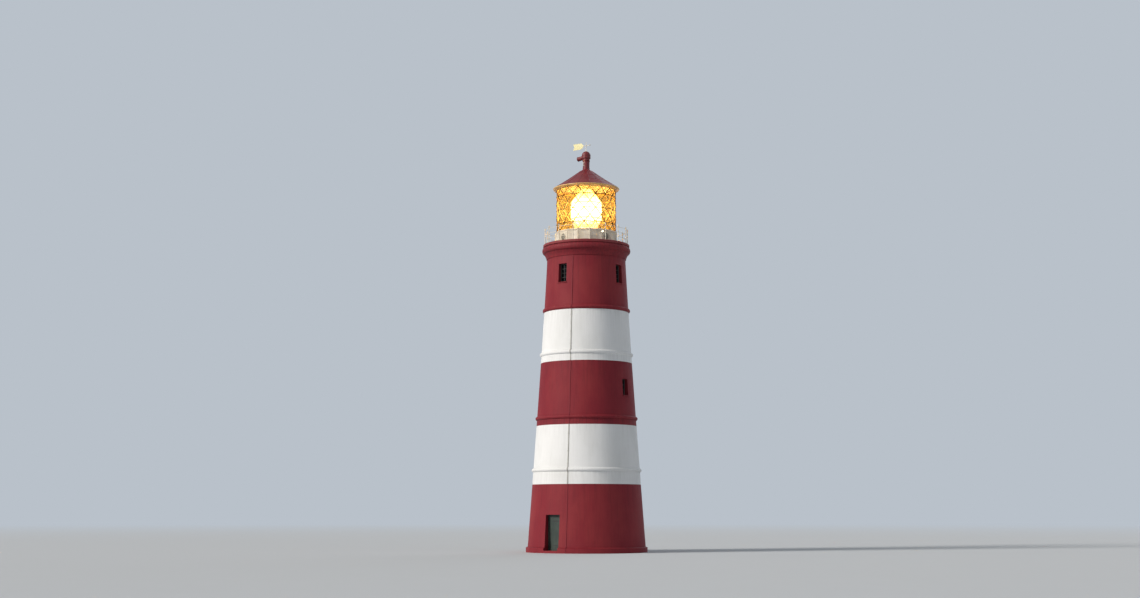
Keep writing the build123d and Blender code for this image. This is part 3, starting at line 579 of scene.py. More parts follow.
def masonryRing(levels, outer, inner, openings):
    # wall point at bearing b and level z: (outer(z) cos a, outer(z) sin a, z), and the same inside; the columns of
    # points beside an opening lean so that its jambs stay parallel, and cells inside openings are left out
    centres = np.arange(0, 360, 360 / walls["columns"])
    share, half = np.zeros(len(centres)), np.zeros(len(centres))
    nearest = outer(levels[-1])
    for opening in openings:
        reach = math.degrees(math.asin(opening["width"] / 2 / nearest)) + 1.0
        for bearing in opening["bearings"]:
            away = np.abs((centres - bearing + 180) % 360 - 180)
            centres, share, half = (values[away > reach] for values in (centres, share, half))
            centres = np.append(centres, [float(bearing)] * 5)
            share = np.append(share, [-1, -0.5, 0, 0.5, 1])
            half = np.append(half, [opening["width"] / 2] * 5)
    order = np.argsort((centres + share * 4) % 360)
    centres, share, half = centres[order], share[order], half[order]
    rings = []
    for radius in (outer(levels), inner(levels)):
        angle = np.radians(centres - 90) + share * np.arcsin(half / radius[:, None])
        rings.append(np.stack([radius[:, None] * np.cos(angle), radius[:, None] * np.sin(angle),
                               np.broadcast_to(levels[:, None], angle.shape)], -1).reshape(-1, 3))
    rows, columns = len(levels), len(centres)
    kept = np.ones((rows - 1, columns), bool)
    middle = (levels[1:] + levels[:-1]) / 2
    for opening in openings:
        inHeight = (middle > opening["sill"]) & (middle < opening["sill"] + opening["height"])
        for bearing in opening["bearings"]:
            inWidth = (centres == bearing) & (half > 0) & (share < 1)
            kept[np.ix_(inHeight, inWidth)] = False
    row, column = np.nonzero(kept)
    index = np.arange(rows * columns).reshape(rows, columns)
    skin = np.stack([index[row, column], index[row, (column + 1) % columns],
                     index[row + 1, (column + 1) % columns], index[row + 1, column]], -1)
    within = rows * columns
    faces = [skin, skin[:, ::-1] + within]

    def closeEdges(rims, along):
        # quads from the outer skin to the inner one, on the edges where kept cells begin or end
        for rim, turnOver in zip(rims, (False, True)):
            row, column = np.nonzero(rim)
            a = index[row, column]
            b = index[row + 1, column] if along == "up" else index[row, (column + 1) % columns]
            quads = np.stack([a, b, b + within, a + within] if along == "up" else [a, a + within, b + within, b], -1)
            faces.append(quads[:, ::-1] if turnOver else quads)

    none = np.zeros((1, columns), bool)
    below, above = np.vstack([none, kept]), np.vstack([kept, none])
    closeEdges((above & ~below, below & ~above), "round")
    before = np.roll(kept, 1, axis=1)
    closeEdges((kept & ~before, before & ~kept), "up")
    return np.concatenate(rings), faces, np.zeros(2 * rows * columns)


def wallLevels(foot, top, openings):
    marks = {foot, top}
    for opening in openings:
        marks |= {mark for mark in (opening["sill"], opening["sill"] + opening["height"]) if foot < mark < top}
    marks = sorted(marks)
    steps = [np.linspace(low, high, max(2, round((high - low) / walls["rowHeight"]) + 1))[:-1]
             for low, high in zip(marks, marks[1:])]
    return np.append(np.concatenate(steps), top)


def bricksRound(foot, top):
    return round(2 * math.pi * float(shaftRadius((foot + top) / 2)) / tower["brickLength"])


def plinthRadius(level):
    # upright, then sloping in to the wall over the weathering
    slope = np.clip((walls["plinthTop"] - level) / walls["plinthWeathering"], 0, 1)
    flat = tower["baseRadius"] + walls["plinthProjection"]
    return np.where(slope >= 1, flat, shaftRadius(walls["plinthTop"]) * (1 - slope) + flat * slope)


def makeShaft():
    wallFeet = [walls["plinthTop"]] + rollTops
    wallTops = tower["paintEdges"] + [tower["shaftTop"]]
    rows = [
        ("redBase", redMasonry, "red_masonry", "red_base", [walls["door"]]),
        ("whiteLower", whiteMasonry, "white_masonry", "white_lower", []),
        ("redMiddle", redMasonry, "red_masonry", "red_middle", [walls["lowWindow"]]),
        ("whiteUpper", whiteMasonry, "white_masonry", "white_upper", []),
        ("redTop", redMasonry, "red_masonry", "red_top", [walls["topWindow"]]),
    ]
    for (name, paint, slot, node, openings), foot, top in zip(rows, wallFeet, wallTops):
        part = masonryRing(wallLevels(foot, top, openings), shaftRadius, roomRadius, openings)
        makePiece(name + "Wall", [part], paint, replaces=(node + "_faces", node + "_corners"),
                  bricksAround=bricksRound(foot, top), ledges=ledges, smoothAngle=40)
    top = walls["plinthTop"]
    levels = np.array([0, walls["door"]["sill"], top - walls["plinthWeathering"], top])
    makePiece("plinthRing", [masonryRing(levels, plinthRadius, roomRadius, [walls["door"]])], redMasonry,
              replaces=("plinth",), bricksAround=bricksRound(0, top), ledges=ledges)


def makeCourses():
    # plain wall from the paint edge up, then a half-round roll with a small fillet under it
    course = {"fillet": 0.012, "step": 0.002, "floorThickness": 0.22, "floorBearing": 0.1103, "underFloor": (1, 3)}
    fillet = course["fillet"]
    paints = [("white", whiteMasonry, "white_masonry"), ("red", redMasonry, "red_masonry")]
    for number, (edge, level, low, top) in enumerate(zip(tower["paintEdges"], tower["rollLevels"], rollFeet, rollTops)):
        roll = arcThrough((shaftRadius(low) + fillet, low), (shaftRadius(level) + tower["rollProjection"], level),
                          (shaftRadius(top), top), 15)
        plain = [(shaftRadius(z), z) for z in np.linspace(edge, low - fillet, 5)]
        plain += [(shaftRadius(low), low - fillet), (shaftRadius(low) + fillet, low - course["step"])]
        back = [(roomRadius(top), top), (roomRadius(edge), edge)]
        if number in course["underFloor"]:
            seat = top - course["floorThickness"]
            recess = roomRadius(seat) + course["floorBearing"]
            back = [(recess, top), (recess, seat), (roomRadius(seat), seat), (roomRadius(edge), edge)]
        outline = plain + roll.tolist() + back
        wear = [0.0] * len(plain) + crestWear(0.5, len(roll)) + [0.0] * len(back)
        name, paint, slot = paints[number % 2]
        makePiece(f"{name}RollCourse{number + 1}", [turned(outline, walls["columns"], wear=wear)], paint,
                  replaces=(f"string_course_{number + 1}",), bricksAround=bricksRound(edge, top),
                  ledges=[low] + ledges, smoothAngle=50)


def makeCornice():
    # a hollow cove, a roll above it and a bed under the deck; each place is (out from the neck, up from the foot)
    cornice = {"cove": [(0.035, 0), (0.1015, 0.2006), (0.205, 0.375)],
               "roll": [(0.23, 0.375), (0.315, 0.5625), (0.23, 0.75)], "groove": (0.19, 0.75), "bricks": 70}
    base = np.array([tower["neckRadius"], tower["shaftTop"]])
    bore, foot, top = roomRadius(base[1]), base[1], tower["deckFoot"]
    cove = arcThrough(*(base + cornice["cove"]), 12)
    roll = arcThrough(*(base + cornice["roll"]), 22)
    groove = base + cornice["groove"]
    outline = [(bore, foot), *cove, *roll, groove, (groove[0], top), (bore, top)]
    wear = [0.0] * (1 + len(cove)) + crestWear(0.4, len(roll)) + [0.0] * 3
    makePiece("galleryCornice", [turned(outline, walls["columns"], wear=wear)], redMasonry,
              replaces=("cornice",), bricksAround=cornice["bricks"], ledges=[cove[-1, 1], groove[1]], smoothAngle=50)
    finish(deckPaint, "gallery_deck")


def makeConductor():
    # flat tape on saddles about a metre apart, each held by two screws
    tape = {"bearing": 16, "first": 0.9, "last": 18.0, "spacing": 1.05, "rollClearance": 0.25, "shift": 0.3,
            "saddleOut": 0.0255, "saddleHalf": 0.016, "screwAcross": 0.044}
    finish(tapePaint, "lightning_conductor")
    parts = []
    for level in np.arange(tape["first"], tape["last"], tape["spacing"]):
        if min(abs(level - roll) for roll in tower["rollLevels"]) < tape["rollClearance"]:
            level += tape["shift"]
        face = shaftRadius(level)
        parts.append(flatBar(face + tape["saddleOut"], (0, level - tape["saddleHalf"]), (0, level + tape["saddleHalf"]),
                             rounded(0.110, 0.007, 0.002)))
        for across in (-tape["screwAcross"], tape["screwAcross"]):
            parts.append(placed(rivet(0.008, 0.006), (face + 0.029, across, level)))
            parts.append(beam((face - 0.002, across, level), (face + 0.027, across, level), circle(0.009, 8), upward))
    makePiece("conductorSaddles", atBearings(parts, [tape["bearing"]]), tapePaint)


makeShaft()
makeCourses()
makeCornice()
makeConductor()
print("shaft made")


# Windows and door

joinery = {"frame": 0.055, "frameDepth": 0.07, "moulding": 0.012, "bar": 0.028, "recess": 0.21, "fit": 0.0003,
           "sillThickness": 0.055, "sillProjection": 0.045, "sillEnds": 0.04, "setBack": 0.002}


def casement(width, height, levelBars, out, foot):
    # frame, one upright bar and level bars, each a moulded length; the outside faces +X
    parts, half, wide = [], joinery["frame"] / 2, width / 2
    front, cut, slim = joinery["frameDepth"] / 2, joinery["moulding"], joinery["bar"] / 2
    frameBar = [(half, -front), (half, front - cut), (half - cut, front), (-half + cut, front), (-half, front - cut),
                (-half, -front)]
    glazingBar = [(slim, -0.02), (slim, 0.008), (slim * 0.45, 0.024), (-slim * 0.45, 0.024), (-slim, 0.008),
                  (-slim, -0.02)]
    middle = out - front
    for side in (half - wide, wide - half):
        parts.append(flatBar(middle, (side, foot), (side, foot + height), frameBar))
    # the rails stand between the uprights and, like the level bars, a little shallower
    inside = wide - 2 * half + 0.001
    for level in (foot + half, foot + height - half):
        parts.append(flatBar(middle, (-inside, level), (inside, level), setBack(frameBar, joinery["setBack"])))
    let = 0.03               # how far the bars run into the frame, from its outside
    parts.append(flatBar(middle, (0, foot + let), (0, foot + height - let), glazingBar))
    for number in range(1, levelBars + 1):
        level = foot + 2 * half + (height - 4 * half) * number / (levelBars + 1)
        parts.append(flatBar(middle, (let - wide, level), (wide - let, level),
                             setBack(glazingBar, joinery["setBack"])))
    return parts


def makeWindows():
    frames, sills, fit, thick = [], [], joinery["fit"], joinery["sillThickness"]
    for window in (walls["topWindow"], walls["lowWindow"]):
        width, height, foot = window["width"], window["height"], window["sill"]
        out = shaftRadius(foot + height) - joinery["recess"]
        frame = casement(width - 2 * fit, height - 2 * fit, window["levelBars"], out, foot + fit)
        frames += atBearings(frame, window["bearings"])
        # sloping painted slate sill from the frame to just past the wall, with a drip edge
        nose = shaftRadius(foot) + joinery["sillProjection"]
        outline = [(out - 0.01, -thick), (nose - 0.03, -thick), (nose - 0.03, -thick - 0.012),
                   (nose - 0.015, -thick - 0.012), (nose - 0.008, -thick), (nose, -thick + 0.006), (nose, -0.022),
                   (nose - 0.006, -0.014), (out - 0.01, 0.012)]
        half = width / 2 + joinery["sillEnds"]
        sill = beam((0, half, foot + 0.004), (0, -half, foot + 0.004), outline, upward)
        sills += atBearings([sill], window["bearings"])
    makePiece("casementFrames", frames, joineryPaint, replaces=("window_frames",))
    makePiece("paintedSills", sills, sillPaint, smoothAngle=25)
    finish(windowGlassPaintedShade, "window_panes")


def makeDoor():
    # eight upright planks with rounded edges in a plain frame, on two forged strap hinges, with a ring handle
    door = {"planks": 8, "gap": 0.003, "ledgeInset": 0.28, "jamb": 0.085, "hingeInset": 0.30, "strapLength": 0.62,
            "strapWidth": 0.055, "handleInset": 0.11, "handleLevel": 1.16}
    low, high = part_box("door_leaf")
    frameLow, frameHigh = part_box("door_frame")
    half, foot, top = (high.x - low.x) / 2, low.z, high.z
    middle = (-low.y - high.y) / 2
    plank = 2 * half / door["planks"]
    planks = []
    for number in range(door["planks"]):
        side = -half + plank * (number + 0.5)
        planks.append(flatBar(middle, (side, foot + 0.004), (side, top), rounded(plank - door["gap"], 0.056, 0.006)))
    for level in (foot + door["ledgeInset"], (foot + top) / 2, top - door["ledgeInset"]):
        planks.append(beam((middle - 0.034, -half + 0.03, level), (middle - 0.034, half - 0.03, level),
                           rounded(0.12, 0.03, 0.006), (-1, 0, 0)))
    makePiece("doorPlanks", atBearings(planks, [0]), doorPaint, replaces=("door_leaf",))
    jamb, deep, centre = door["jamb"], frameHigh.y - frameLow.y, (-frameLow.y - frameHigh.y) / 2
    wide = (frameHigh.x - frameLow.x) / 2
    frameParts = [flatBar(centre, (side, frameLow.z), (side, frameHigh.z), rounded(jamb, deep, 0.008))
                  for side in (jamb / 2 - wide, wide - jamb / 2)]
    # the head stands between the jambs, a little shallower
    inside, head = wide - jamb + 0.001, frameHigh.z - jamb / 2
    frameParts.append(flatBar(centre, (-inside, head), (inside, head), rounded(jamb, deep - 0.004, 0.008)))
    makePiece("doorFrameMoulded", atBearings(frameParts, [0]), doorPaint, replaces=("door_frame",))
    face = -low.y - 0.002
    iron = []
    for level in (foot + door["hingeInset"], top - door["hingeInset"]):
        iron.append(flatBar(face + 0.003, (half - 0.01, level), (half - door["strapLength"], level),
                            rounded(door["strapWidth"], 0.008, 0.002)))
        iron.append(flatBar(face + 0.012, (half, level - 0.05), (half, level + 0.05), circle(0.014)))
        for step in np.linspace(0.08, door["strapLength"] - 0.05, 6):
            iron.append(placed(rivet(0.011, 0.008), (face + 0.007, half - step, level)))
    handle = (-half + door["handleInset"], door["handleLevel"])
    ring = turned([(0.047, -0.007), (0.061, -0.007), (0.061, 0.007), (0.047, 0.007)], 32)
    rose = turned([(0, 0), (0.036, 0), (0.03, 0.01), (0, 0.014)], 24)
    iron.append(placed(ring, (face + 0.012, *handle), (1, 0.1, 0)))
    iron.append(placed(rose, (face, handle[0], handle[1] + 0.05)))
    makePiece("doorIronwork", atBearings(iron, [0]), blackIron)


makeWindows()
makeDoor()
finish(concrete, "ground_floor", "middle_floor", "service_floor")
print("windows and door made")


# Gallery

def makeRailing():
    # turned posts with spear heads on bolted flanges, with a collar where each rail enters
    railing = {"radius": 2.63, "posts": 16, "firstBearing": 18, "height": 0.93, "collars": (0.288, 0.598, 0.908),
               "boltCircle": 0.041}
    foot, top = tower["deckTop"], railing["height"]
    flange = [(0, 0), (0.055, 0), (0.055, 0.012), (0.050, 0.017), (0.033, 0.022), (0.027, 0.034), (0.023, 0.05)]
    collar = [(0.021, -0.026), (0.030, -0.018), (0.032, 0), (0.030, 0.018), (0.021, 0.026)]
    spear = [(0.021, 0.004), (0.014, 0.014), (0.030, 0.022), (0.030, 0.028), (0.016, 0.034), (0.036, 0.048),
             (0.044, 0.058), (0.040, 0.075), (0.025, 0.12), (0, 0.175)]
    outline = flange + [(radius, level + up) for level in railing["collars"] for radius, up in collar]
    outline += [(radius, top + up) for radius, up in spear]
    wear = [0.5] * 7 + [0.15] * (len(outline) - 11) + [0.3] * 4
    posts = [placed(turned(outline, 14, wear=wear), (railing["radius"], 0, foot), upward)]
    for x, y in circle(railing["boltCircle"], 3):
        posts += allPlaced(boltHead(0.007, 0.007), (railing["radius"] + x, y, foot + 0.016), upward)
    bearings = railing["firstBearing"] + 360 / railing["posts"] * np.arange(railing["posts"])
    makePiece("spearPosts", atBearings(posts, bearings), creamIron, replaces=("railing_posts",))
    finish(creamIron, "railing_low_rail", "railing_middle_rail", "railing_top_rail")


def sunkPanel(half, foot, top, face, border, slope, depth):
    # out(u, v) is level round the edge, falls to the sunk field over a short slope and turns back at the rim
    u = np.array([-half, -half, -half + border, -half + border + slope])
    v = np.array([foot, foot, foot + border, foot + border + slope])
    across, up = np.meshgrid(np.append(u, -u[::-1]), np.append(v, (foot + top) - v[::-1]), indexing="ij")
    out = np.full((8, 8), face)
    out[3:5, 3:5] -= depth
    out[[0, -1], :] = face - 1.4 * depth
    out[:, [0, -1]] = face - 1.4 * depth
    points = np.stack([out, across, up], -1).reshape(-1, 3)
    return points, [gridFaces(8, 8)], np.where(out < face, 0.3, 0.2).ravel()


def makeMurette():
    # bolted cast plates with sunk fields, ribs on the corners, flanges above and below
    murette = {"border": 0.055, "slope": 0.012, "sunk": 0.011, "rivets": 9, "rivetInset": 0.022, "bolts": 4,
               "ribWidth": 0.056, "ribDepth": 0.052, "groove": 0.014}
    foot, top, inner, outer = tower["deckTop"], tower["muretteTop"], tower["lanternBore"], tower["castRadius"]
    parts = [
        sixteenSided([(inner, foot), (outer, foot), (outer, top), (inner, top)]),
        sixteenSided([(outer - 0.01, foot), (outer + 0.03, foot), (outer + 0.03, foot + 0.026),
                      (outer + 0.022, foot + 0.034), (outer - 0.01, foot + 0.034)], [0, 0.8, 0.8, 0.4, 0]),
        sixteenSided([(outer - 0.01, top - 0.036), (outer + 0.02, top - 0.036), (outer + 0.03, top - 0.026),
                      (outer + 0.03, top), (outer - 0.01, top)], [0, 0.3, 0.3, 0.3, 0])]
    edge = outer * math.sin(halfSide) - murette["ribWidth"] / 2 - murette["groove"]
    face = castApothem + murette["sunk"] + 0.001
    plate = [sunkPanel(edge, foot + 0.02, top - 0.02, face, murette["border"], murette["slope"], murette["sunk"])]
    for across in (murette["rivetInset"] - edge, edge - murette["rivetInset"]):
        for level in np.linspace(foot + 0.075, top - 0.075, murette["rivets"]):
            plate.append(placed(rivet(0.0085, 0.007), (face, across, level)))
    for across in np.linspace(-edge + 0.06, edge - 0.06, murette["bolts"]):
        plate += allPlaced(boltHead(0.009, 0.009), (castApothem + 0.016, across, foot + 0.030), upward)
    parts += atBearings(plate, lanternSides)
    rib = flatBar(outer, (0, foot + 0.01), (0, top - 0.01), rounded(murette["ribWidth"], murette["ribDepth"], 0.012))
    parts += atBearings([rib], lanternCorners)
    makePiece("castMurettePlates", parts, creamIron, replaces=("murette",), smoothAngle=18)


def makeVentilators():
    # round inlets: a raised bolted rim, five sloping slats and a black disc in the throat, painted shade standing in
    # for the dark opening
    inlet = {"radius": 0.235, "level": 19.62, "bearings": np.arange(4) * 90 - 13.25, "rim": 0.042, "slats": 5,
             "slatReach": 0.13, "bolts": 8, "firstBolt": 22}
    face, outer, level = castApothem + 0.001, inlet["radius"], inlet["level"]
    rim = turned([(outer - 0.044, -0.002), (outer, -0.002), (outer, 0.028), (outer - 0.006, 0.036),
                  (outer - 0.018, 0.041), (outer - 0.032, 0.038), (outer - 0.042, 0.028)], 48,
                 wear=[0, 0, 0.3, 0.3, 0.3, 0.2, 0])
    parts = [placed(rim, (face, 0, level))]
    for turn in np.radians(np.arange(inlet["bolts"]) * 360 / inlet["bolts"] + inlet["firstBolt"]):
        y, z = (outer - inlet["rim"] / 2) * np.array([math.cos(turn), math.sin(turn)])
        parts += allPlaced(boltHead(0.007, 0.006), (face + 0.039, y, level + z))
    throat = outer - inlet["rim"]
    for up in np.linspace(-inlet["slatReach"], inlet["slatReach"], inlet["slats"]):
        reach = math.sqrt(throat ** 2 - up ** 2) - 0.003
        parts.append(beam((face + 0.017, -reach, level + up), (face + 0.017, reach, level + up),
                          rounded(0.034, 0.005, 0.001), (1, 0, 0.9)))
    makePiece("ventilatorRims", atBearings(parts, inlet["bearings"]), creamIron,
              replaces=("ventilators",))
    # painted shade: a black disc stands in for the dark opening of each inlet
    dish = turned([(0, -0.001), (throat + 0.003, -0.001), (throat + 0.003, 0.004), (0, 0.004)], 40)
    makePiece("ventilatorThroatsPaintedShade", atBearings([placed(dish, (face, 0, level))], inlet["bearings"]), blackIron)


def makePeephole():
    # one small lit peephole beside an inlet
    peephole = {"bearing": 76.75, "across": -0.293, "level": 19.91, "radius": 0.048}
    place, radius = (castApothem + 0.007, peephole["across"], peephole["level"]), peephole["radius"]
    rim = turned([(radius, -0.008), (radius + 0.018, -0.008), (radius + 0.018, 0.010), (radius + 0.008, 0.016),
                  (radius, 0.012)], 28)
    glass = turned([(0, -0.006), (radius + 0.002, -0.006), (radius + 0.002, 0.004), (0.6 * radius, 0.008),
                    (0, 0.009)], 28)
    makePiece("peepholeRim", atBearings([placed(rim, place)], [peephole["bearing"]]), bronze)
    makePiece("peepholeGlass", atBearings([placed(glass, place)], [peephole["bearing"]]), beamGlass)


makeRailing()
makeMurette()
makeVentilators()
makePeephole()
print("gallery made")


# Lantern

lattice = {
    "barWidth": 0.050, "barDepth": 0.062, "rows": 3, "stripShare": 0.72, "bossRadius": 0.032, "glassIn": 0.022,
    "glassThickness": 0.008, "glassLap": 0.01,
}
barApothem = castApothem - 0.012


def makeSill():
    foot, top, bore = tower["muretteTop"], tower["sillTop"], tower["lanternBore"]
    outline = [(bore, foot), (1.972, foot), (1.972, foot + 0.010), (1.986, foot + 0.018), (1.994, foot + 0.032),
               (1.994, foot + 0.050), (1.975, foot + 0.060), (1.945, top), (bore, top)]
    makePiece("lanternSillMoulded", [sixteenSided(outline, [0, 0.2, 0, 0.1, 0.3, 0.4, 0.3, 0.2, 0])], creamIron,
              replaces=("lantern_sill",), smoothAngle=18)


def makeLattice():
    # crossing bars on each flat side behind bronze strips that hold the glass, with a boss where they cross or meet
    foot, top = tower["sillTop"], tower["glazingTop"]
    half = barApothem * math.tan(halfSide)
    step = (top - foot) / lattice["rows"]
    wide, deep, size = lattice["barWidth"] / 2, lattice["barDepth"] / 2, lattice["bossRadius"]
    joint, cover = deep * 0.3, wide * lattice["stripShare"]
    section = [(wide * 0.45, -deep), (wide * 0.9, joint * 0.4), (wide * 0.9, joint), (-wide * 0.9, joint),
               (-wide * 0.9, joint * 0.4), (-wide * 0.45, -deep)]
    strip = [(cover, joint), (cover, deep * 0.75), (cover * 0.7, deep), (-cover * 0.7, deep), (-cover, deep * 0.75),
             (-cover, joint)]
    boss = turned([(0, -0.004), (size, -0.004), (size, 0.006), (size * 0.8, 0.011), (0.018, 0.013), (0.016, 0.022),
                   (0, 0.024)], 18)
    button = turned([(0, -0.003), (0.034, -0.003), (0.034, 0.005), (0, 0.012)], 14)
    middle = barApothem - deep
    bars, strips = [], []
    for low in foot + step * np.arange(lattice["rows"]):
        high, crossing = low + step, low + step / 2
        for back, first, last in ((0, (-half, low), (half, high)), (0.001, (half, low), (-half, high)),
                                  (0.002, (-half, crossing), (half, crossing))):
            bars.append(flatBar(middle, first, last, setBack(section, back)))
            strips.append(flatBar(middle - back, first, last, strip))
        strips.append(placed(boss, (barApothem, 0, crossing)))
        bars.append(placed(boss, (barApothem - 2 * deep, 0, crossing), (-1, 0, 0)))
    corner = barApothem / math.cos(halfSide) - 0.006
    knots = [placed(boss, (corner, 0, foot + row * step)) for row in range(1, lattice["rows"])]
    knots += [placed(button, (corner, 0, foot + (row + 0.5) * step)) for row in range(lattice["rows"])]
    makePiece("astragalLattice", atBearings(bars, lanternSides), astragalPaint,
              replaces=("lantern_lattice",), smoothAngle=30)
    makePiece("glazingStrips", atBearings(strips, lanternSides) + atBearings(knots, lanternCorners), stripBronze,
              smoothAngle=30)
    outer = (barApothem - lattice["glassIn"]) / math.cos(halfSide)
    inner, low, high = outer - lattice["glassThickness"], foot - lattice["glassLap"], top + lattice["glassLap"]
    makePiece("lanternPlateGlass", [sixteenSided([(inner, low), (outer, low), (outer, high), (inner, high)])],
              lanternGlassPaintedGlow, replaces=("lantern_glass",), smoothAngle=10)


def makeEave():
    foot, low = tower["glazingTop"], tower["headTop"]
    head = [(1.8545, foot), (1.932, foot), (1.944, foot + 0.010), (1.944, foot + 0.036), (1.955, foot + 0.05),
            (1.8545, foot + 0.05)]
    makePiece("lanternHeadRing", [sixteenSided(head)], eaveIronPaintedLamplight, replaces=("lantern_head",),
              smoothAngle=18)
    # ogee gutter on short struts from the corners of the head ring
    gutter = [(1.82, low), (2.000, low), (2.030, low + 0.003), (2.058, low + 0.014), (2.074, low + 0.032),
              (2.086, low + 0.046), (2.106, low + 0.054), (2.115, low + 0.066), (2.115, low + 0.088),
              (2.110, low + 0.102), (2.098, low + 0.110), (1.82, low + 0.110)]
    parts = [turned(gutter, wear=[0, 0, 0, 0.1, 0.1, 0.1, 0.3, 0.5, 0.5, 0.5, 0.3, 0])]
    strut = [flatBar(2.02, (0, low - 0.010), (0, low + 0.004), rounded(0.030, 0.07, 0.005)),
             beam((1.955, 0, low - 0.040), (2.030, 0, low + 0.004), rounded(0.022, 0.010, 0.002), upward)]
    parts += atBearings(strut, lanternCorners)
    makePiece("eaveGutterMoulded", parts, eaveIronPaintedLamplight, replaces=("eave_gutter",), smoothAngle=40)


def makeRoof():
    # sheets swept from eave to stack, lapped under half-round ribs on the lantern corners, riveted beside them
    roof = {"edge": 2.0925, "middle": (1.33, 23.405), "neck": 0.35, "bore": 0.21, "thickness": 0.045, "rib": 0.019,
            "pitch": 0.11, "rivetAcross": 0.037, "laps": (0.36, 0.70), "lap": 0.010}
    eave, crown, edge, rib, reach = tower["eaveTop"], tower["stackFoot"], roof["edge"], roof["rib"], roof["lap"]
    outer = arcThrough((edge, eave), roof["middle"], (roof["neck"], crown), 36)
    inner = arcThrough((edge - 2 * roof["thickness"], eave), (roof["middle"][0], roof["middle"][1] - roof["thickness"]),
                       (roof["bore"], crown - roof["thickness"] / 2), 24)
    outline = [(edge, eave)] + outer[1:].tolist() + [(roof["bore"], crown)] + inner[::-1].tolist()
    parts = [turned(outline, wear=[0.9] + [0.0] * (len(outline) - 1))]
    tangent = np.gradient(outer, axis=0)
    tangent /= np.linalg.norm(tangent, axis=1)[:, None]
    normal = np.stack([tangent[:, 1], -tangent[:, 0]], -1)
    length = np.append(0, np.cumsum(np.linalg.norm(np.diff(outer, axis=0), axis=1)))

    def along(values, at):
        return np.array([np.interp(at, length, values[:, axis]) for axis in (0, 1)])

    halfRound = [(rib * math.cos(a), rib * 0.8 * math.sin(a)) for a in np.linspace(0, math.pi, 7)]
    halfRound += [(-rib, -0.004), (rib, -0.004)]
    ribParts = [carried(np.insert(outer, 1, 0, axis=1)[:-1], halfRound, np.insert(normal, 1, 0, axis=1)[:-1])]
    for at in np.arange(0.08, length[-1] - 0.1, roof["pitch"]):
        spot, up = np.insert(along(outer, at), 1, 0), np.insert(along(normal, at), 1, 0)
        for across in (-roof["rivetAcross"], roof["rivetAcross"]):
            ribParts.append(placed(rivet(0.0075, 0.005, 6), spot + (0, across, 0), up))
    parts += atBearings(ribParts, lanternCorners)
    lap = arcThrough((reach, 0), (0.0, 0.007), (-reach, 0), 5).tolist() + [[-reach, -0.003], [reach, -0.003]]
    for share in roof["laps"]:
        spot, slope = along(outer, share * length[-1]), along(tangent, share * length[-1])
        profile = [spot - slope * s + np.array([slope[1], -slope[0]]) * h for s, h in lap]
        parts.append(turned(profile, 128, wear=[0.4] * len(profile)))
    makePiece("roofSheetsRibbed", parts, redIron, replaces=("roof",), smoothAngle=40)
    # thin sheet lining inside, painted pale to throw the light back
    lining = np.concatenate([inner[1:-1] - (0, 0.004), inner[-2:0:-1] + (0, 0.002)])
    makePiece("roofLiningSheets", [turned(lining, 96)], creamIron, smoothAngle=40)


def makeStack():
    # flared foot bolted to the roof, plain tube with a bead, collar under the turning cowl
    stack = {"radius": 0.215, "bore": 0.201, "flare": 0.322, "collar": 0.236, "bolts": 12, "boltInset": 0.016,
             "padLevels": (24.403, 24.621), "padBearing": -10}
    foot, top, radius, bore = tower["stackFoot"], tower["stackTop"], stack["radius"], stack["bore"]
    flare, collar = stack["flare"], stack["collar"]
    sweep = arcThrough((flare - 0.004, foot + 0.014), (0.252, foot + 0.063), (radius, foot + 0.15), 12)
    outline = [(bore, foot), (flare + 0.006, foot), (flare + 0.006, foot + 0.012), *sweep]
    outline += [(radius + 0.010, foot + 0.153), (radius + 0.014, foot + 0.161), (radius + 0.010, foot + 0.169),
                (radius, foot + 0.172)]
    outline += [(radius, top - 0.062), (radius + 0.008, top - 0.054), (radius + 0.010, top - 0.046),
                (collar, top - 0.040), (collar, top - 0.006), (collar - 0.005, top), (bore, top)]
    wear = [0, 0.3, 0.3] + [0.0] * 12 + [0.4] * 4 + [0.1, 0.2, 0.2, 0.5, 0.5, 0.4, 0.1]
    parts = [turned(outline, 64, wear=wear)]
    bolts = allPlaced(boltHead(0.011, 0.010), (flare - stack["boltInset"], 0, foot + 0.018), upward)
    parts += atBearings(bolts, np.arange(stack["bolts"]) * 360 / stack["bolts"])
    makePiece("ventStackMoulded", parts, redIron, replaces=("vent_stack",), smoothAngle=40)
    finish(creamIron, "stack_handrail")
    finish(bronze, "cowl_spindle")
    # round pads where the grab rail's brackets meet the stack
    pad = turned([(0, -0.004), (0.034, -0.004), (0.034, 0.004), (0.028, 0.008), (0, 0.008)], 16)
    pads = [placed(pad, (radius - 0.001, 0, level)) for level in stack["padLevels"]]
    makePiece("grabRailPads", atBearings(pads, [stack["padBearing"]]), creamIron)


makeSill()
makeLattice()
makeEave()
makeRoof()
makeStack()
print("lantern made")


# Cowl and vane, which turn together; the spout and the flag point to -X

cowl = {
    "foot": 24.745, "ledge": 24.90, "shoulder": 25.10, "crown": 25.38, "neck": 0.225, "radius": 0.28,
    "spout": 0.135, "drop": 6.0, "root": 25.003, "rivets": 28, "bands": (0.34, 0.50), "bandRivets": 12,
}
vane = {
    "level": 25.76, "top": 26.0, "mast": 0.018, "heel": 0.22, "counterweight": 0.30, "ball": 0.042,
    "flagNear": 0.2343, "flagLength": 0.80, "flagHeight": 0.39, "tipHeight": 0.41, "heelHeight": 0.12, "corner": 0.145,
    "notch": 0.09, "wire": 0.0055, "strapLevels": (-0.035, 0.035),
}


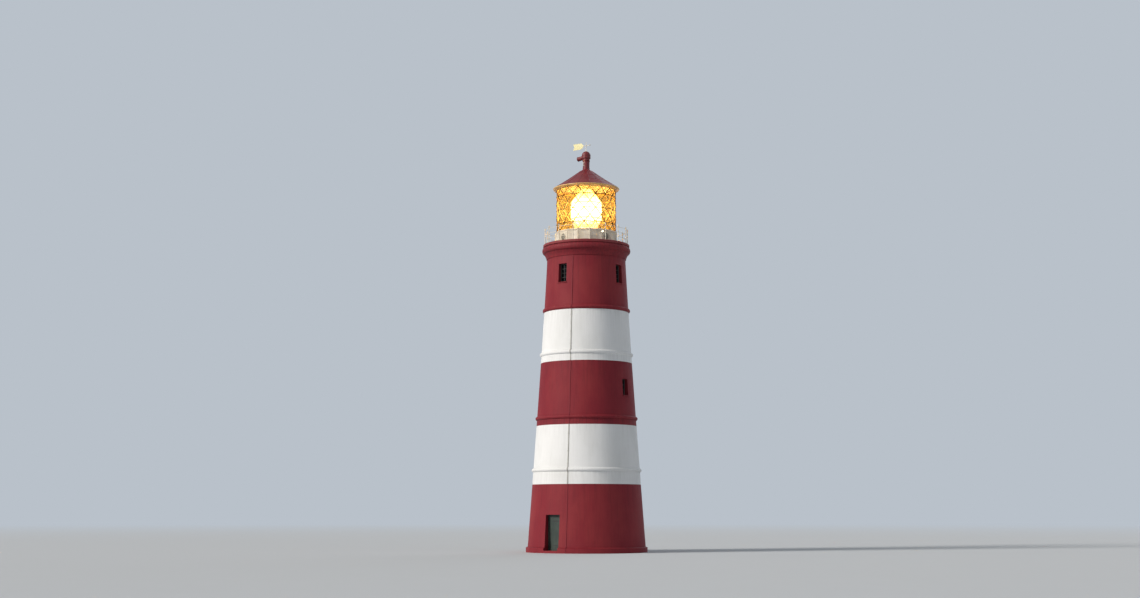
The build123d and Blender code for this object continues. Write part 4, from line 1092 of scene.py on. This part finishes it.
def makeCowl():
    # rolled beads and rivet rows on the seams of the head, bands round the spout
    finish(redIron, "cowl")
    radius, neck, spout, shoulder = cowl["radius"], cowl["neck"], cowl["spout"], cowl["shoulder"]
    parts = [turned(circle(0.009, 10) + (neck + 0.001, cowl["foot"] + 0.011), 48, wear=[0.5] * 10),
             turned(circle(0.010, 10) + (radius, cowl["ledge"] + 0.011), 56, wear=[0.5] * 10),
             turned(circle(0.007, 8) + (radius + 0.001, shoulder), 56)]
    for level, out in ((cowl["ledge"] + 0.04, radius), (shoulder - 0.03, radius), (cowl["foot"] + 0.04, neck)):
        for a in np.arange(cowl["rivets"]) * 2 * math.pi / cowl["rivets"]:
            # none where the spout leaves the head
            if abs((a - math.pi) * out) > 0.17:
                x, y = math.cos(a), math.sin(a)
                parts.append(placed(rivet(0.009, 0.006), (out * x, out * y, level), (x, y, 0)))
    drop = math.radians(cowl["drop"])
    band = turned([(spout - 0.002, -0.018), (spout + 0.007, -0.018), (spout + 0.009, -0.012), (spout + 0.009, 0.012),
                   (spout + 0.007, 0.018), (spout - 0.002, 0.018)], 40, wear=[0, 0.3, 0.3, 0.3, 0.3, 0])
    for reach in cowl["bands"]:
        place = (-reach, 0, cowl["root"] - reach * math.tan(drop))
        parts.append(placed(band, place, (-math.cos(drop), 0, -math.sin(drop))))
        for y, z in circle(1, cowl["bandRivets"]):
            out = np.array([0, y, z])
            parts.append(placed(rivet(0.007, 0.005, 6), place + out * (spout + 0.008), out))
    makePiece("cowlSeamsRiveted", parts, redIron, body="cowl")


def makeVane():
    # turned mast with a finial, level bar with a ball as counterweight, upright heel that carries the flag
    level, mast, crown, top = vane["level"], vane["mast"], cowl["crown"], vane["top"]
    size, weight, heel = vane["ball"], vane["counterweight"], vane["heelHeight"] / 2
    outline = [(0, crown - 0.02), (0.060, crown - 0.02), (0.060, crown + 0.010), (0.052, crown + 0.018),
               (0.036, crown + 0.026), (0.030, crown + 0.045), (mast, crown + 0.07)]
    outline += [(mast, level - 0.045), (0.030, level - 0.036), (0.034, level - 0.022), (0.034, level + 0.022),
                (0.030, level + 0.036), (mast - 0.002, level + 0.045)]
    outline += [(mast - 0.004, top - 0.085), (0.022, top - 0.075), (0.022, top - 0.065), (0.012, top - 0.055),
                (0.018, top - 0.040), (0.013, top - 0.018), (0, top)]
    bar = [(0, -vane["heel"]), (0.014, -vane["heel"]), (0.0145, 0), (0.0145, 0.1), (0.012, weight), (0, weight)]
    angle = np.linspace(-math.pi / 2, math.pi / 2, 17)
    ball = [(0, -size), *((size * math.cos(a), size * math.sin(a)) for a in angle[1:-1]), (0, size)]
    neck = [(0, -0.012), (0.020, -0.012), (0.020, 0.012), (0, 0.012)]
    upright = [(0, -heel), (0.010, -heel), (0.014, -heel + 0.01), (0.014, heel - 0.01), (0.010, heel), (0, heel)]
    parts = [turned(outline, 20, wear=[0.2] * len(outline)), placed(turned(bar, 16), (0, 0, level)),
             placed(turned(ball, 24, wear=[0.2] * len(ball)), (weight, 0, level)),
             placed(turned(neck, 16), (weight - size - 0.004, 0, level)),
             placed(turned(upright, 14), (-vane["heel"], 0, level), upward)]
    makePiece("vaneFrameTurned", parts, creamIron, body="cowl", replaces=("vane_frame",))


def makeFlag():
    # sheet point (u, v): x falls from the heel to the notched end, z = level + v half(u), with a shallow ripple
    level, near = vane["level"], vane["flagNear"]
    u, v = np.meshgrid(np.linspace(0, 1, 41), np.linspace(-1, 1, 21), indexing="ij")
    bend = vane["corner"] / vane["flagLength"]
    half = np.interp(u, [0, bend, 1], [vane["heelHeight"] / 2, vane["flagHeight"] / 2, vane["tipHeight"] / 2]) - 0.006
    x = -near - 0.002 - u * (vane["flagLength"] - 0.008 - vane["notch"] * (1 - np.abs(v)))
    y = 0.003 * np.sin(u * 7.0) * u
    flat, cells = np.stack([x, y, level + v * half], -1).reshape(-1, 3), gridFaces(41, 21)
    count = len(flat)
    index = np.arange(count).reshape(41, 21)
    loop = np.concatenate([index[:-1, 0], index[-1, :-1], index[:0:-1, -1], index[0, :0:-1]])
    rim = np.stack([loop, np.roll(loop, -1), np.roll(loop, -1) + count, loop + count], -1)
    sheet = (np.concatenate([flat + (0, 0.0025, 0), flat - (0, 0.0025, 0)]),
             [cells, cells[:, ::-1] + count, rim[:, ::-1]], np.zeros(2 * count))
    # a round wire is rolled into the border
    parts = [sheet, carried(flat[np.append(loop, loop[:2])], circle(vane["wire"], 8), (0, 1, 0))]
    for up in vane["strapLevels"]:
        for side in (-1, 1):
            first, last = ((x, side * 0.005, level + up) for x in (0.004 - vane["heel"], -near - 0.11))
            parts.append(beam(first, last, rounded(0.022, 0.003, 0.001), (0, side, 0)))
            parts += [placed(rivet(0.006, 0.003), (-near - reach, side * 0.0064, level + up), (0, side, 0))
                      for reach in (0.03, 0.06, 0.09)]
    makePiece("swallowTailFlag", parts, flagPaint, body="cowl", replaces=("vane_flag",))


makeCowl()
makeVane()
makeFlag()
print("cowl and vane made")


# Lens

finish(lensGlass, "optic_belt", "optic_upper_prisms", "optic_lower_prisms")
finish(bronze, "optic_frame", "lamp_stem")
finish(creamIron, "optic_pedestal")
finish(lampGlass, "lamp_bulb")
print("lens finished")


# Camera, light and floor

studio = {
    "lens": 50.0, "sensor": 36.0, "distance": 99.4, "eye": 2.57, "bearing": 36.0, "tilt": 7.6, "besideCentre": 16.5,
    "imageWidth": 1140, "backdrop": "#B9C1CA", "floor": "#C8CCCF", "floorPatches": "#BFC3C6", "sky": "#E9EDF2",
    "skyStrength": 0.30,
    # name: bearing from the camera's, height, strength, width of the light, colour
    "suns": {"keySun": (-64, 27, 3.3, 16, "#FFF8F0"), "fillSun": (50, 25, 0.22, 50, "#DCE6F5"),
             "backSun": (150, 30, 0.40, 40, "#E6ECF6")},
}


def makeCamera():
    data = bpy.data.cameras.new("photoCamera")
    data.sensor_fit, data.sensor_width, data.lens = "HORIZONTAL", studio["sensor"], studio["lens"]
    data.clip_end = 2000
    camera = bpy.data.objects.new("photoCamera", data)
    scene.collection.objects.link(camera)
    bearing = math.radians(studio["bearing"])
    focal = studio["lens"] / studio["sensor"] * studio["imageWidth"]         # in pixels
    aside = math.atan(studio["besideCentre"] / focal)
    camera.location = (studio["distance"] * math.sin(bearing), -studio["distance"] * math.cos(bearing), studio["eye"])
    camera.rotation_euler = (math.radians(90 + studio["tilt"]), 0, bearing + aside)
    scene.camera = camera


def makeSuns():
    for name, (bearing, height, strength, width, colour) in studio["suns"].items():
        data = bpy.data.lights.new(name, "SUN")
        data.energy, data.angle, data.color = strength, math.radians(width), srgb(colour)[:3]
        sun = bpy.data.objects.new(name, data)
        sun.rotation_euler = (math.radians(90 - height), 0, math.radians(studio["bearing"] + bearing))
        scene.collection.objects.link(sun)


def makeSky():
    # soft light for the tower; the camera, reflections and glass see the backdrop instead
    world = bpy.data.worlds.new("paleStudio")
    scene.world = world
    world.use_nodes = True
    tree = world.node_tree
    tree.nodes.clear()
    rays, seen = addNode(tree, "LightPath", {}).node.outputs, 0.0
    for ray in ("Is Camera Ray", "Is Glossy Ray", "Is Transmission Ray"):
        seen = addNode(tree, "Math", {"operation": "MAXIMUM", 0: rays[ray], 1: seen})
    light = addNode(tree, "Background", {"Color": studio["sky"], "Strength": studio["skyStrength"]})
    backdrop = addNode(tree, "Background", {"Color": studio["backdrop"], "Strength": 1.0})
    mix = addNode(tree, "MixShader", {0: seen, 1: light, 2: backdrop})
    setNode(tree.nodes.new("ShaderNodeOutputWorld"), {"Surface": mix})


def makeFloor():
    # a wide disc whose colour runs into the backdrop's towards its edge
    ring = np.append(0, np.geomspace(4, 900, 24))
    angle = np.arange(96) * 2 * math.pi / 96
    points = np.stack([np.outer(ring, np.cos(angle)), np.outer(ring, np.sin(angle)), np.zeros((25, 96))], -1)
    mesh = bpy.data.meshes.new("studioFloor")
    mesh.from_pydata(points.reshape(-1, 3).tolist(), [], gridFaces(25, 96, False, True).tolist())
    floor = bpy.data.objects.new("studioFloor", mesh)
    scene.collection.objects.link(floor)
    material, tree, shader = startMaterial("mattPaintOnStudioFloor")
    place = addNode(tree, "TexCoord", {}, "Object")
    distance = addNode(tree, "VectorMath", {"operation": "LENGTH", 0: place}, "Value")
    far = addNode(tree, "MapRange", {**soft, "Value": distance, "From Min": 40, "From Max": 220})
    cloudy = addNode(tree, "Math", {"operation": "MULTIPLY", 0: mottled(tree, (1, 1, 1), 0.4, 5), 1: 0.25})
    setNode(shader, {"Roughness": 0.9, "Specular IOR Level": 0.1,
                     "Base Color": layered(tree, studio["floor"], [(cloudy, studio["floorPatches"])])})
    glow = addNode(tree, "Emission", {"Color": studio["backdrop"], "Strength": 1.0})
    mix = addNode(tree, "MixShader", {0: far, 1: shader.outputs[0], 2: glow})
    setNode(tree.nodes["Material Output"], {"Surface": mix})
    mesh.materials.append(material)


makeCamera()
makeSuns()
makeSky()
makeFloor()
scene.view_settings.view_transform = "Standard"
print("studio made")
